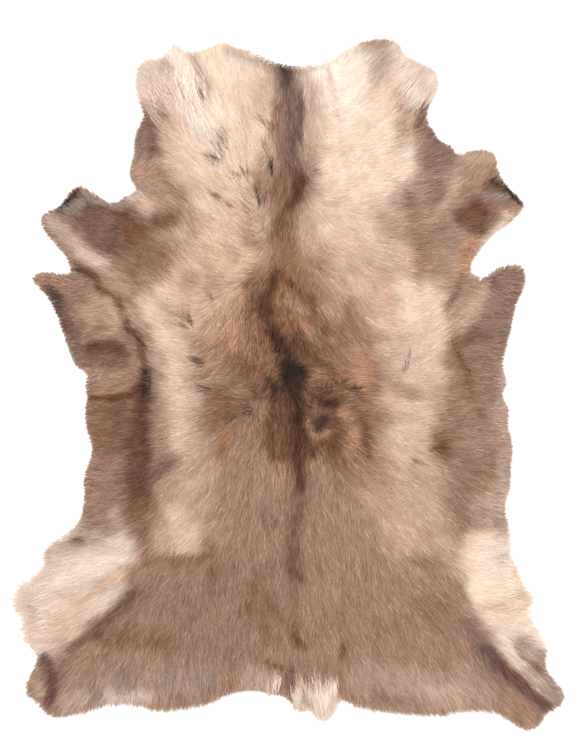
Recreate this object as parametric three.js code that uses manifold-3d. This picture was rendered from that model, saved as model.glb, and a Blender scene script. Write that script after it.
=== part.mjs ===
// A tanned reindeer hide with its coat, lying flat on the floor, hair side up. Millimetres.
// +X runs across the hide, +Y towards the neck end and +Z up.
// The origin is on the floor under the middle of the hide.
// One solid: its underside is the skin, its top the envelope of the coat, its wall the hair at the edge.
import * as THREE from 'three';
import { mergeVertices } from 'three/addons/utils/BufferGeometryUtils.js';
import Module from 'manifold-3d';

// Driving sizes.
const COAT = 17; // skin and lying coat together, away from edges and folds
const EDGE_COAT = 6; // the same at the very edge, where the hair runs out
const EDGE_ROLL = 15; // how far from the edge the coat takes to come up
const LEAST = 4; // the thinnest the hide may be in a crease
const SAG = 1.5; // a skin lifted less than this settles back on the floor
const GRID = 24; // spacing of the top and bottom surfaces' points
const EDGE_STEP = 13; // spacing of the points along the edge
const MARGIN = 3 * GRID; // how far the uncut slab reaches past the edge
const WAVE = { height: 1.3, across: 64, along: 91 }; // the slight unevenness all over the back

// The edge, clockwise from the middle of the neck end: each row is one stretch of it,
// as landmarks [across, along] from the middle of the hide.
const EDGE = [
  { stretch: 'neck end, right half', marks: [
    [-7, 577], [31, 576], [68, 587], [103, 605], [133, 619], [169, 621], [191, 614], [200, 592], [225, 581],
    [256, 563], [261, 538]] },
  { stretch: 'neck, right side', marks: [
    [248, 511], [239, 486], [254, 457], [266, 437], [286, 430], [299, 405]] },
  { stretch: 'right foreleg', marks: [
    [315, 418], [360, 419], [371, 383], [394, 351], [418, 324], [396, 299], [362, 274], [335, 243], [320, 218],
    [326, 189]] },
  { stretch: 'right elbow', marks: [
    [349, 194], [376, 212], [412, 214], [418, 184], [403, 151], [391, 97], [378, 36], [385, 2], [376, -16],
    [389, -45]] },
  { stretch: 'right flank', marks: [
    [387, -74], [396, -113], [392, -151], [391, -185], [382, -212], [387, -261], [389, -310]] },
  { stretch: 'right thigh', marks: [
    [403, -342], [412, -373], [436, -387], [412, -410], [436, -439], [454, -473], [454, -509]] },
  { stretch: 'right hind leg', marks: [
    [472, -536], [490, -560], [475, -581], [454, -589], [446, -608], [427, -621], [396, -605], [364, -583]] },
  { stretch: 'rump, right half', marks: [
    [313, -581], [268, -589], [169, -583], [122, -576], [85, -563]] },
  { stretch: 'tail', marks: [
    [74, -590], [54, -607], [31, -583], [13, -589], [-4, -565], [-36, -554]] },
  { stretch: 'rump, left half', marks: [
    [-81, -549], [-124, -558], [-166, -572], [-241, -581], [-281, -571], [-346, -574], [-387, -589],
    [-436, -596]] },
  { stretch: 'left hind leg', marks: [
    [-455, -569], [-477, -549], [-466, -518], [-457, -490]] },
  { stretch: 'left thigh', marks: [
    [-473, -461], [-475, -421], [-490, -398], [-486, -371], [-455, -349], [-439, -326], [-439, -299],
    [-409, -275], [-382, -248], [-373, -207]] },
  { stretch: 'left flank', marks: [
    [-373, -167], [-358, -115], [-369, -76], [-371, -45], [-367, -23]] },
  { stretch: 'left elbow', marks: [
    [-371, 2], [-367, 22], [-387, 34], [-405, 74], [-421, 122], [-439, 160], [-468, 196], [-436, 202],
    [-398, 198]] },
  { stretch: 'left foreleg', marks: [
    [-401, 225], [-421, 252], [-445, 281], [-452, 304], [-418, 322], [-391, 355], [-367, 351], [-320, 324],
    [-302, 338], [-275, 351]] },
  { stretch: 'neck, left side', marks: [
    [-292, 380], [-284, 409], [-281, 448], [-265, 490], [-275, 522], [-277, 560]] },
  { stretch: 'neck end, left half', marks: [
    [-268, 581], [-227, 590], [-212, 614], [-194, 596], [-160, 603], [-126, 617], [-99, 605], [-67, 599],
    [-38, 585]] },
];

// The main folds. A ridge lifts the skin off the floor and the coat with it; a crease only parts the coat.
// route is its line [across, along], reach its half-width, coat and skin the heights that it adds to each.
const FOLDS = [
  { name: 'left foreleg ridge', route: [[-439, 299], [-392, 254], [-338, 218]], reach: 20, coat: 13, skin: 10 },
  { name: 'left foreleg hollow', route: [[-407, 288], [-364, 261], [-324, 239]], reach: 14, coat: -5, skin: 0 },
  { name: 'left elbow ridge', route: [[-418, 180], [-355, 135], [-313, 99]], reach: 24, coat: 6, skin: 4 },
  { name: 'left elbow valley', route: [[-389, 49], [-351, 70], [-302, 61]], reach: 14, coat: -8, skin: 0 },
  { name: 'left elbow pillow', route: [[-351, 16], [-310, 13], [-288, 23]], reach: 30, coat: 15, skin: 11 },
  { name: 'left shoulder crease', route: [[-360, 203], [-313, 149], [-283, 95], [-261, 34]],
    reach: 11, coat: -9, skin: 0 },
  { name: 'left elbow crease', route: [[-261, 34], [-263, -5], [-295, -22], [-360, -27]],
    reach: 12, coat: -11, skin: 0 },
  { name: 'left flank trough', route: [[-256, -36], [-268, -117], [-274, -189], [-263, -234]],
    reach: 24, coat: -5, skin: 0 },
  { name: 'left thigh crease', route: [[-286, -324], [-313, -387], [-355, -427], [-414, -468]],
    reach: 12, coat: -7, skin: 0 },
  { name: 'left thigh ridge', route: [[-259, -342], [-288, -401], [-331, -445], [-391, -481]],
    reach: 18, coat: 5, skin: 3 },
  { name: 'left hind foot lump', route: [[-457, -538], [-450, -524]], reach: 20, coat: 9, skin: 6 },
  { name: 'left hind foot crease', route: [[-441, -495], [-428, -527], [-439, -578]],
    reach: 10, coat: -7, skin: 0 },
  { name: 'left hind foot wrinkle', route: [[-396, -495], [-407, -538], [-425, -571]],
    reach: 9, coat: -5, skin: 0 },
  { name: 'right neck crease', route: [[247, 506], [229, 477], [236, 437], [232, 373]],
    reach: 11, coat: -7, skin: 0 },
  { name: 'right neck ridge', route: [[214, 491], [209, 423], [211, 355]], reach: 16, coat: 5, skin: 3 },
  { name: 'right shoulder crease', route: [[302, 403], [284, 389], [259, 380]], reach: 11, coat: -6, skin: 0 },
  { name: 'right shoulder ridge', route: [[360, 410], [313, 383], [284, 351]], reach: 15, coat: 6, skin: 4 },
  { name: 'right foreleg hollow', route: [[374, 340], [338, 324], [320, 293]], reach: 18, coat: -6, skin: 0 },
  { name: 'right foreleg ridge', route: [[412, 319], [374, 295], [328, 256]], reach: 16, coat: 10, skin: 8 },
  { name: 'right elbow crease', route: [[313, 202], [295, 167], [281, 142], [270, 121]],
    reach: 11, coat: -9, skin: 0 },
  { name: 'right elbow ridge', route: [[407, 203], [371, 171], [328, 149]], reach: 26, coat: 9, skin: 6 },
  { name: 'right elbow wrinkle', route: [[293, 85], [335, 99]], reach: 9, coat: -5, skin: 0 },
  { name: 'right flank crease', route: [[283, 99], [299, 56], [315, 13], [338, -54]],
    reach: 13, coat: -7, skin: 0 },
  { name: 'right flank dimple', route: [[266, -99], [268, -117]], reach: 17, coat: -5, skin: 0 },
  { name: 'right thigh crease', route: [[290, -337], [308, -378], [342, -459], [374, -495], [457, -574]],
    reach: 13, coat: -9, skin: 0 },
  { name: 'right hind ridge', route: [[320, -360], [351, -427], [405, -482], [452, -527], [481, -560]],
    reach: 18, coat: 11, skin: 8 },
  { name: 'right hind lobe', route: [[356, -517], [396, -571], [425, -610]], reach: 20, coat: 7, skin: 4 },
  { name: 'right thigh wrinkle', route: [[401, -463], [418, -488], [443, -508]], reach: 9, coat: -6, skin: 0 },
];

// The edge as evenly spaced points on one smooth closed curve through its landmarks.
function edgePoints() {
  const marks = EDGE.flatMap((row) => row.marks).map(([x, y]) => new THREE.Vector3(x, y, 0));
  const curve = new THREE.CatmullRomCurve3(marks, true, 'centripetal');
  const steps = Math.round(curve.getLength() / EDGE_STEP);
  return curve.getSpacedPoints(steps).slice(0, steps).map((p) => new THREE.Vector2(p.x, p.y));
}

// How far a point is from the line between a and b.
function distanceToLine(point, a, b) {
  const along = b.clone().sub(a);
  const share = THREE.MathUtils.clamp(point.clone().sub(a).dot(along) / along.lengthSq(), 0, 1);
  return a.clone().addScaledVector(along, share).distanceTo(point);
}

// Whether a point lies within a closed outline: a ray to the right crosses it an odd number of times.
function isInside(point, outline) {
  let inside = false;
  outline.forEach((a, i) => {
    const b = outline[(i + 1) % outline.length];
    const spans = (a.y > point.y) !== (b.y > point.y);
    if (spans && point.x < a.x + ((point.y - a.y) * (b.x - a.x)) / (b.y - a.y)) inside = !inside;
  });
  return inside;
}

// How far inside the edge a point is, in millimetres, or less than nothing outside it.
function depthInside(point, outline) {
  const distances = outline.map((a, i) => distanceToLine(point, a, outline[(i + 1) % outline.length]));
  const nearest = Math.min(...distances);
  return isInside(point, outline) ? nearest : -nearest;
}

// What the folds add at a point, to the coat or to the skin.
function foldHeight(point, layer) {
  return FOLDS.reduce((sum, fold) => {
    const route = fold.route.map(([x, y]) => new THREE.Vector2(x, y));
    const distances = route.slice(1).map((b, i) => distanceToLine(point, route[i], b));
    return sum + fold[layer] * Math.exp(-((Math.min(...distances) / fold.reach) ** 2));
  }, 0);
}

// The height of the underside: on the floor, but for where a ridge holds the skin up.
function skinHeight(point) {
  return Math.max(0, foldHeight(point, 'skin') - SAG);
}

// The height of the coat's envelope: full over the back, rolling down to the edge, with folds and waves.
function coatHeight(point, outline) {
  const depth = depthInside(point, outline) / EDGE_ROLL;
  const rise = depth > 0 ? 1 - Math.exp(-depth) : Math.max(depth, -0.3);
  const wave = WAVE.height * Math.sin(point.x / WAVE.across + point.y / (2 * WAVE.along))
    * Math.cos(point.y / WAVE.along - point.x / (3 * WAVE.across));
  const height = EDGE_COAT + (COAT - EDGE_COAT + wave) * rise + foldHeight(point, 'coat');
  return Math.max(height, skinHeight(point) + LEAST);
}

// A closed slab over the whole hide whose two faces follow the coat and the skin.
function slab(outline) {
  const box = new THREE.Box2().setFromPoints(outline).expandByScalar(MARGIN);
  const size = box.getSize(new THREE.Vector2());
  const centre = box.getCenter(new THREE.Vector2());
  const columns = Math.round(size.x / GRID);
  const rows = Math.round(size.y / GRID);
  const geometry = new THREE.BoxGeometry(size.x, size.y, 1, columns, rows, 1);
  geometry.translate(centre.x, centre.y, 0);
  const position = geometry.attributes.position;
  for (let i = 0; i < position.count; i += 1) {
    const point = new THREE.Vector2(position.getX(i), position.getY(i));
    position.setZ(i, position.getZ(i) > 0 ? coatHeight(point, outline) : skinHeight(point));
  }
  return geometry;
}

// An upright prism on the edge's outline, taller than any fold.
function trimmer(outline) {
  const tall = COAT + FOLDS.reduce((sum, fold) => sum + Math.max(0, fold.coat), 0);
  const geometry = new THREE.ExtrudeGeometry(new THREE.Shape(outline), { depth: 2 * tall, bevelEnabled: false });
  return geometry.translate(0, 0, -tall);
}

const wasm = await Module();
wasm.setup();

// A closed geometry as a solid that can be cut.
function toSolid(geometry) {
  const bare = geometry.clone();
  bare.deleteAttribute('normal');
  bare.deleteAttribute('uv');
  const merged = mergeVertices(bare);
  const mesh = new wasm.Mesh({
    numProp: 3,
    vertProperties: new Float32Array(merged.attributes.position.array),
    triVerts: new Uint32Array(merged.index.array),
  });
  return new wasm.Manifold(mesh);
}

// A solid back as a geometry, its box centred over the origin.
function toGeometry(solid) {
  const mesh = solid.getMesh();
  const geometry = new THREE.BufferGeometry();
  geometry.setAttribute('position', new THREE.BufferAttribute(new Float32Array(mesh.vertProperties), 3));
  geometry.setIndex(new THREE.BufferAttribute(new Uint32Array(mesh.triVerts), 1));
  geometry.computeBoundingBox();
  const centre = geometry.boundingBox.getCenter(new THREE.Vector3());
  geometry.translate(-centre.x, -centre.y, 0);
  geometry.computeVertexNormals();
  return geometry;
}

const outline = edgePoints();
const coatMaterial = new THREE.MeshStandardMaterial({ color: 0xc2a286, roughness: 0.95, metalness: 0 });
const hide = new THREE.Mesh(toGeometry(toSolid(slab(outline)).intersect(toSolid(trimmer(outline)))), coatMaterial);
hide.name = 'hide';

const group = new THREE.Group();
group.add(hide);

export default group;
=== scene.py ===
"""A whole reindeer hide, tanned with its winter coat left on, laid flat with the hair side up.

The hide is built in the layers that a tanner knows: the skin with its suede flesh side, the underwool
that fills the coat, the guard hair that lies over it in combed locks, the dark hairs that stand out
singly, and the long tufts of the tail and neck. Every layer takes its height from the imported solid, and
its colour, lie and length from one description of the coat. Tables are in millimetres, from the middle
of the hide, with +Y towards the neck. Headings are in degrees, anticlockwise from +X, from root to tip.
"""

from __future__ import annotations

import logging
import math
from dataclasses import dataclass, field
from enum import Enum

import bpy
import numpy as np
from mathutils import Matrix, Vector
from mathutils.bvhtree import BVHTree
from mathutils.geometry import delaunay_2d_cdt


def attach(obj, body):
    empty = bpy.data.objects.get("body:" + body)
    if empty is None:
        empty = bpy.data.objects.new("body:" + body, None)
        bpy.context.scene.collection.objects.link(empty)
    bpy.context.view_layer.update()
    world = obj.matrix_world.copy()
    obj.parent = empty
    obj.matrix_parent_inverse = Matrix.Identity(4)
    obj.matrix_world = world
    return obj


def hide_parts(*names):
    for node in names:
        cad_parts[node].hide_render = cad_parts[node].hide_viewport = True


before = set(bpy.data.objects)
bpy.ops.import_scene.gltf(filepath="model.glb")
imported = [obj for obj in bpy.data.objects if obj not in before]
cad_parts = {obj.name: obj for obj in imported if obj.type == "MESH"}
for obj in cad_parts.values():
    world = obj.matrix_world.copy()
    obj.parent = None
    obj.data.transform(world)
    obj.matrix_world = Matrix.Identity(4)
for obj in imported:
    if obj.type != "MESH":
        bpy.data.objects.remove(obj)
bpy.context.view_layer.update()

MM = 0.001
UP = Vector((0, 0, 1))
LUMINANCE = np.array([0.21, 0.72, 0.07])
TONE_LAYER = "hair_tone"
BAKE_MAP = "OFBake"

Route = list[tuple[float, float]]


class Tone(Enum):
    """The hair colours of the coat, as sRGB hex values, from the palest to the darkest."""

    WHITE_CREAM = "#F6E7D9"
    PALE_CREAM = "#F3DDCA"
    CREAM = "#EBD0B8"
    PALE_SAND = "#E0C8B4"
    WARM_CREAM = "#E3C3A7"
    SAND = "#D7B9A2"
    GOLDEN_SAND = "#D7B294"
    TAN = "#CBA88F"
    PALE_TAUPE = "#BBA08D"
    BUFF = "#BD987E"
    HONEY = "#BC9070"
    GREY_TAUPE = "#A48E82"
    LIGHT_TAUPE = "#AE8D78"
    FAWN = "#A5826B"
    TAUPE = "#9B7A66"
    HONEY_BROWN = "#9C6F4B"
    WARM_BROWN = "#9A7157"
    GREY_BROWN = "#8E7062"
    BROWN = "#8A654D"
    DARK_TAUPE = "#7A5C4D"
    UMBER = "#744F3B"
    STRIPE_BROWN = "#6B514A"
    DARK_UMBER = "#5B3A2B"
    DARK_ASH = "#4B3A33"
    NIGHT_UMBER = "#432C22"
    BLACK_BROWN = "#2A1D19"


@dataclass(frozen=True)
class Marking:
    """One field or mark of the coat's colour, laid over the ones before it.

    Its colour holds within reach of the route, fades out over soft on both sides of that, and covers a
    share of what is under it. Some marks are painted shade in creases, valleys and under steps, and a
    few are painted highlights on the lit sides of folds.
    """

    name: str
    tone: Tone
    reach: float
    soft: float
    share: float
    route: Route


@dataclass(frozen=True)
class Lie:
    """How the hair lies in one region: places with the heading of the hair there."""

    region: str
    places: list[tuple[float, float, float]]


@dataclass(frozen=True)
class Whorl:
    """A place that the hair turns away from on all sides, within reach."""

    name: str
    middle: tuple[float, float]
    reach: float


@dataclass(frozen=True)
class LengthZone:
    """A stretch of the coat where the hair is longer or shorter, and hangs further over the edge."""

    name: str
    length: float
    overhang: float
    reach: float
    soft: float
    route: Route


@dataclass(frozen=True)
class LivelyZone:
    """Where the hair's tone changes more from lock to lock than it does elsewhere."""

    name: str
    gain: float
    reach: float
    soft: float
    route: Route


@dataclass(frozen=True)
class Crease:
    """A narrow trough in the coat, where the hide folds or the hair parts."""

    name: str
    depth: float
    reach: float
    route: Route


@dataclass(frozen=True)
class Fleck:
    """Single hairs that start within reach of a route and show against the coat around them."""

    name: str
    tone: Tone
    hairs: int
    reach: float
    heading: float
    fan: float
    route: Route


@dataclass(frozen=True)
class Tuft:
    """Long locks that run from a line of roots to a line of tips."""

    name: str
    locks: int
    tone: Tone
    roots: Route
    tips: Route


GROUND_TONE = Tone.FAWN

# Columns: name, tone, reach, soft, share, route.
MARKING_ROWS = [
    ("loins left", Tone.BUFF, 61, 39, 1, [(-190, -126), (-180, -261)]),
    ("loins left light", Tone.TAN, 22, 29, 0.8, [(-144, -171), (-97, -171)]),
    ("loins middle", Tone.FAWN, 90, 44, 1, [(-66, -189), (69, -207)]),
    ("loins right", Tone.BUFF, 61, 44, 1, [(177, -135), (204, -270)]),
    ("rump left", Tone.TAUPE, 58, 34, 0.9, [(-309, -405), (-210, -387), (-183, -459)]),
    ("rump middle", Tone.TAUPE, 61, 44, 0.9, [(-129, -351), (15, -387), (-102, -459)]),
    ("rump right", Tone.FAWN, 76, 44, 1, [(105, -387), (249, -423)]),
    ("mid back left", Tone.HONEY, 61, 49, 1, [(-115, 198), (-126, 90)]),
    ("mid back left low", Tone.FAWN, 40, 34, 1, [(-129, 27), (-104, -72)]),
    ("mid left shade", Tone.BROWN, 16, 16, 1, [(-144, -34), (-129, -63)]),
    ("mid left gold", Tone.HONEY_BROWN, 6, 9, 0.9, [(-126, -2), (-118, -45), (-122, -92), (-129, -128)]),
    ("mid left brown", Tone.BROWN, 14, 14, 0.85, [(-111, 63), (-100, 13)]),
    ("mid back right", Tone.TAN, 65, 49, 1, [(126, 234), (144, 153)]),
    ("mid back right low", Tone.WARM_BROWN, 54, 44, 1, [(108, 72), (130, -9), (126, -108)]),
    ("neck right rim", Tone.PALE_SAND, 20, 11, 1, [(191, 610), (234, 582), (267, 546), (252, 506)]),
    ("neck top rim", Tone.PALE_SAND, 18, 11, 1, [(-284, 542), (-280, 585), (-241, 607), (-201, 625),
      (-126, 621)]),
    ("left thigh rim", Tone.PALE_SAND, 25, 15, 1, [(-399, -261), (-442, -300), (-475, -344), (-500, -387),
      (-486, -444), (-457, -477)]),
    ("right thigh rim", Tone.PALE_CREAM, 25, 15, 1, [(400, -279), (425, -342), (450, -387), (436, -423),
      (454, -459)]),
    ("left flank", Tone.BROWN, 47, 29, 1, [(-334, -36), (-327, -99)]),
    ("left flank low", Tone.TAUPE, 47, 29, 1, [(-331, -167), (-334, -243)]),
    ("left flank foot", Tone.PALE_TAUPE, 13, 11, 0.7, [(-316, -232), (-311, -257)]),
    ("right flank", Tone.TAUPE, 58, 29, 1, [(335, 63), (342, -99), (339, -207)]),
    ("right elbow", Tone.GREY_BROWN, 40, 19, 0.8, [(386, 180), (375, 108)]),
    ("right elbow light", Tone.LIGHT_TAUPE, 25, 24, 0.9, [(346, 160), (335, 124)]),
    ("right shoulder", Tone.LIGHT_TAUPE, 61, 29, 1, [(249, 351), (270, 261), (278, 189)]),
    ("left shoulder", Tone.UMBER, 47, 34, 1, [(-324, 312), (-280, 268), (-241, 286)]),
    ("left shoulder low", Tone.TAUPE, 40, 34, 0.9, [(-306, 200), (-237, 222), (-216, 258)]),
    ("left shoulder grey", Tone.LIGHT_TAUPE, 27, 22, 0.95, [(-262, 369), (-262, 322), (-237, 326)]),
    ("neck cream left", Tone.CREAM, 94, 39, 1, [(-140, 553), (-129, 441)]),
    ("neck cream left low", Tone.WARM_CREAM, 65, 49, 1, [(-156, 405), (-118, 333)]),
    ("neck gold left", Tone.GOLDEN_SAND, 72, 49, 1, [(-144, 276), (-136, 229)]),
    ("shoulder gold left", Tone.GOLDEN_SAND, 43, 39, 1, [(-198, 211), (-165, 153)]),
    ("mid left top", Tone.BUFF, 20, 22, 0.8, [(-144, 186), (-133, 178)]),
    ("neck gold mid", Tone.WARM_CREAM, 22, 24, 0.8, [(-154, 326), (-136, 294)]),
    ("left shoulder mid", Tone.BROWN, 23, 27, 0.9, [(-277, 236), (-234, 229)]),
    ("shoulder fade left", Tone.LIGHT_TAUPE, 16, 16, 0.8, [(-187, 312), (-176, 283)]),
    ("left shoulder spot", Tone.UMBER, 13, 13, 0.95, [(-241, 294), (-212, 303)]),
    ("neck cream right", Tone.PALE_CREAM, 83, 34, 1, [(101, 535), (112, 423)]),
    ("neck cream right low", Tone.CREAM, 72, 49, 1, [(105, 405), (134, 340)]),
    ("neck gold right", Tone.WARM_CREAM, 61, 49, 1, [(87, 286), (144, 283)]),
    ("neck gold low right", Tone.TAN, 47, 44, 0.8, [(83, 222), (126, 207)]),
    ("neck cream far right", Tone.CREAM, 54, 29, 1, [(180, 528), (177, 391)]),
    ("neck tufts", Tone.PALE_SAND, 36, 29, 0.9, [(-252, 546), (-210, 564), (-183, 506)]),
    ("neck top tuft", Tone.WHITE_CREAM, 16, 14, 0.9, [(-208, 585), (-187, 535)]),
    ("neck cream streak", Tone.WARM_CREAM, 22, 24, 0.8, [(-205, 438), (-183, 387)]),
    ("neck middle warm", Tone.WARM_CREAM, 32, 34, 0.7, [(-84, 531), (-93, 405)]),
    ("neck middle grey", Tone.PALE_SAND, 25, 24, 0.6, [(-151, 463), (-136, 423)]),
    ("neck corner lines", Tone.PALE_SAND, 13, 11, 0.6, [(-268, 528), (-237, 506)]),
    ("neck corner tan", Tone.TAN, 16, 13, 0.8, [(-248, 492), (-216, 474)]),
    ("neck left edge", Tone.GREY_BROWN, 25, 12, 1, [(-261, 477), (-266, 423)]),
    ("neck left edge low", Tone.LIGHT_TAUPE, 22, 17, 0.9, [(-268, 394), (-266, 358)]),
    ("neck left dark", Tone.DARK_TAUPE, 11, 7, 0.9, [(-255, 477), (-246, 448), (-250, 420)]),
    ("neck left fade", Tone.TAN, 16, 16, 0.6, [(-226, 456), (-221, 396), (-208, 360)]),
    ("neck left spur", Tone.TAUPE, 11, 13, 0.8, [(-241, 384), (-212, 351), (-201, 333)]),
    ("neck left spot", Tone.TAUPE, 9, 11, 0.7, [(-198, 355), (-201, 333)]),
    ("neck top brown", Tone.LIGHT_TAUPE, 9, 7, 0.7, [(-174, 587), (-158, 556), (-153, 520)]),
    ("neck top edge", Tone.PALE_TAUPE, 7, 7, 0.8, [(-120, 603), (-93, 596), (-64, 582), (-43, 571)]),
    ("beside stripe", Tone.GOLDEN_SAND, 18, 18, 0.7, [(-54, 528), (-54, 492)]),
    ("beside stripe pale", Tone.WARM_CREAM, 14, 14, 0.7, [(-54, 456), (-54, 420)]),
    ("beside stripe low", Tone.BUFF, 18, 16, 0.75, [(-46, 391), (-46, 351)]),
    ("stripe right side", Tone.TAN, 22, 24, 0.8, [(35, 528), (35, 423)]),
    ("stripe", Tone.GREY_BROWN, 22, 12, 1, [(-9, 564), (-3, 513), (-1, 450), (-3, 373)]),
    ("stripe core", Tone.GREY_BROWN, 9, 9, 0.85, [(-10, 574), (-5, 528), (0, 459), (0, 387)]),
    ("stripe top", Tone.DARK_ASH, 8, 7, 0.95, [(-16, 580), (-9, 549)]),
    ("stripe right rim", Tone.STRIPE_BROWN, 5, 5, 0.8, [(15, 528), (17, 441)]),
    ("stripe left edge", Tone.WARM_BROWN, 9, 9, 0.8, [(-27, 504), (-30, 463), (-21, 423)]),
    ("withers right", Tone.LIGHT_TAUPE, 16, 13, 0.85, [(35, 423), (35, 394)]),
    ("withers", Tone.BROWN, 27, 27, 0.9, [(-28, 358), (0, 324), (15, 366)]),
    ("withers dark", Tone.DARK_UMBER, 10, 9, 0.95, [(15, 373), (6, 348), (-5, 322)]),
    ("withers low dark", Tone.UMBER, 11, 13, 0.9, [(-14, 304), (-25, 268)]),
    ("withers left", Tone.FAWN, 18, 16, 0.8, [(-57, 380), (-59, 362)]),
    ("below withers", Tone.BROWN, 16, 18, 0.85, [(-3, 297), (-9, 222)]),
    ("withers right low", Tone.GOLDEN_SAND, 16, 16, 0.75, [(40, 319), (38, 250)]),
    ("back top brown", Tone.WARM_BROWN, 23, 29, 0.75, [(0, 222), (44, 222)]),
    ("neck right patch", Tone.PALE_TAUPE, 22, 15, 0.9, [(161, 600), (155, 560)]),
    ("neck right corner", Tone.PALE_SAND, 29, 19, 0.7, [(231, 549), (209, 520)]),
    ("neck right shade", Tone.BUFF, 14, 14, 0.8, [(204, 528), (202, 492), (198, 438)]),
    ("neck right edge", Tone.GREY_BROWN, 22, 12, 1, [(245, 492), (252, 430), (278, 409)]),
    # Painted shade in the right neck crease, over the dark roots in the parting.
    ("neck right crease", Tone.FAWN, 11, 9, 0.8, [(224, 470), (233, 405), (233, 358)]),
    ("neck right light", Tone.PALE_SAND, 14, 13, 0.8, [(204, 423), (198, 384)]),
    ("neck parting", Tone.SAND, 4, 4, 0.7, [(63, 582), (76, 522), (83, 459), (96, 396)]),
    ("shoulder patch", Tone.TAUPE, 23, 17, 0.9, [(211, 340), (218, 304)]),
    ("shoulder patch fade", Tone.LIGHT_TAUPE, 22, 29, 0.75, [(173, 308), (184, 268)]),
    ("shoulder patch tail", Tone.FAWN, 20, 14, 0.85, [(227, 272), (249, 229), (256, 204)]),
    ("right shoulder pale", Tone.GOLDEN_SAND, 16, 16, 0.8, [(198, 240), (206, 211)]),
    ("shoulder dark", Tone.GREY_BROWN, 16, 11, 0.8, [(252, 402), (265, 333)]),
    ("shoulder streak", Tone.TAN, 9, 7, 0.9, [(305, 394), (288, 351), (272, 315)]),
    ("right foreleg", Tone.LIGHT_TAUPE, 27, 15, 1, [(321, 394), (357, 402)]),
    ("right foreleg tips", Tone.TAN, 11, 7, 0.8, [(321, 412), (359, 412)]),
    ("right foreleg mid", Tone.TAUPE, 22, 15, 1, [(346, 319), (384, 322)]),
    ("right foreleg dark", Tone.UMBER, 22, 13, 1, [(321, 304), (339, 319)]),
    ("right foreleg foot", Tone.DARK_TAUPE, 11, 9, 0.9, [(324, 283), (346, 276)]),
    ("right foreleg shade", Tone.DARK_TAUPE, 16, 9, 0.8, [(357, 358), (393, 337)]),
    ("right foreleg edge", Tone.NIGHT_UMBER, 5, 3, 1, [(369, 375), (411, 330)]),
    ("right foreleg glint", Tone.GREY_TAUPE, 7, 7, 0.6, [(342, 339), (386, 344)]),
    ("right foreleg tip", Tone.BUFF, 11, 7, 1, [(404, 321), (389, 312)]),
    ("right foreleg hem", Tone.SAND, 6, 5, 1, [(396, 304), (371, 283), (350, 261), (332, 243)]),
    ("right elbow neck", Tone.HONEY, 16, 11, 0.9, [(328, 261), (306, 222), (310, 204)]),
    # Painted shade in the right elbow's crease, over the dark roots in the parting. The right elbow gleam
    # row below is a painted highlight beside it.
    ("right elbow crease", Tone.DARK_TAUPE, 8, 8, 0.85, [(310, 191), (297, 169), (287, 150)]),
    ("right elbow line", Tone.GREY_BROWN, 5, 7, 0.75, [(350, 124), (330, 103), (308, 81)]),
    ("right elbow gleam", Tone.TAN, 12, 11, 0.95, [(348, 175), (326, 142), (303, 101)]),
    ("right elbow low", Tone.DARK_TAUPE, 14, 11, 0.9, [(290, 81), (335, 92)]),
    # Painted shade in the right flank's crease, over the dark roots in the parting.
    ("right flank crease", Tone.BROWN, 11, 9, 0.8, [(285, 96), (301, 56), (317, 13), (324, -18)]),
    ("right flank spot", Tone.BROWN, 9, 9, 0.7, [(339, -45), (342, -63)]),
    ("right flank edge", Tone.PALE_TAUPE, 14, 13, 0.9, [(384, 24), (386, -117), (380, -279)]),
    ("right flank light", Tone.LIGHT_TAUPE, 22, 22, 0.75, [(339, -99), (375, -102)]),
    ("right flank low", Tone.PALE_TAUPE, 23, 24, 0.85, [(350, -207), (364, -257)]),
    ("right flank shade", Tone.WARM_BROWN, 14, 13, 0.6, [(350, -149), (335, -182)]),
    ("right hem brown", Tone.TAUPE, 9, 9, 0.6, [(375, -246), (378, -264)]),
    ("right cream inner", Tone.GOLDEN_SAND, 25, 39, 0.85, [(177, 182), (166, 72)]),
    ("right cream", Tone.CREAM, 40, 34, 1, [(231, 150), (227, 99)]),
    ("right cream middle", Tone.SAND, 49, 32, 0.95, [(220, 60), (216, -27)]),
    ("right cream low", Tone.SAND, 40, 32, 0.9, [(220, -70), (216, -117)]),
    ("right side pale", Tone.TAN, 47, 36, 0.85, [(227, -164), (231, -279)]),
    ("right cream top", Tone.CREAM, 18, 18, 0.7, [(209, 168), (224, 153)]),
    ("right edge cream", Tone.WARM_CREAM, 13, 11, 0.8, [(260, 132), (263, 9)]),
    ("right side tan", Tone.TAN, 18, 14, 0.5, [(260, 18), (263, -27)]),
    ("right band", Tone.LIGHT_TAUPE, 14, 14, 0.85, [(180, 2), (213, -16)]),
    ("right gold", Tone.GOLDEN_SAND, 7, 9, 0.8, [(188, -48), (191, -113)]),
    ("right brown patch", Tone.WARM_BROWN, 11, 13, 0.85, [(103, 139), (107, 106)]),
    ("right brown tail", Tone.FAWN, 11, 13, 0.8, [(126, 92), (144, 78)]),
    ("right warm spot", Tone.BUFF, 9, 9, 0.7, [(166, 200), (177, 189)]),
    # Painted shade of a dimple in the right flank.
    ("right dimple", Tone.BROWN, 18, 11, 0.95, [(267, -95), (270, -120)]),
    ("right dimple core", Tone.UMBER, 9, 9, 0.9, [(261, -110), (278, -106)]),
    ("rump spot right", Tone.BROWN, 13, 11, 0.7, [(224, -315), (256, -324)]),
    ("left foreleg dark", Tone.DARK_TAUPE, 32, 12, 1, [(-399, 322), (-363, 308), (-338, 268)]),
    ("left foreleg top", Tone.GREY_TAUPE, 11, 11, 0.8, [(-367, 344), (-316, 330), (-270, 344)]),
    ("left foreleg edge", Tone.BLACK_BROWN, 5, 3, 1, [(-417, 324), (-396, 342)]),
    ("left foreleg tip", Tone.GREY_BROWN, 16, 9, 0.9, [(-435, 304), (-410, 294)]),
    # Painted highlights on the lit side of the left foreleg's ridge: the glint row here and the light and
    # bright rows below.
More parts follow.
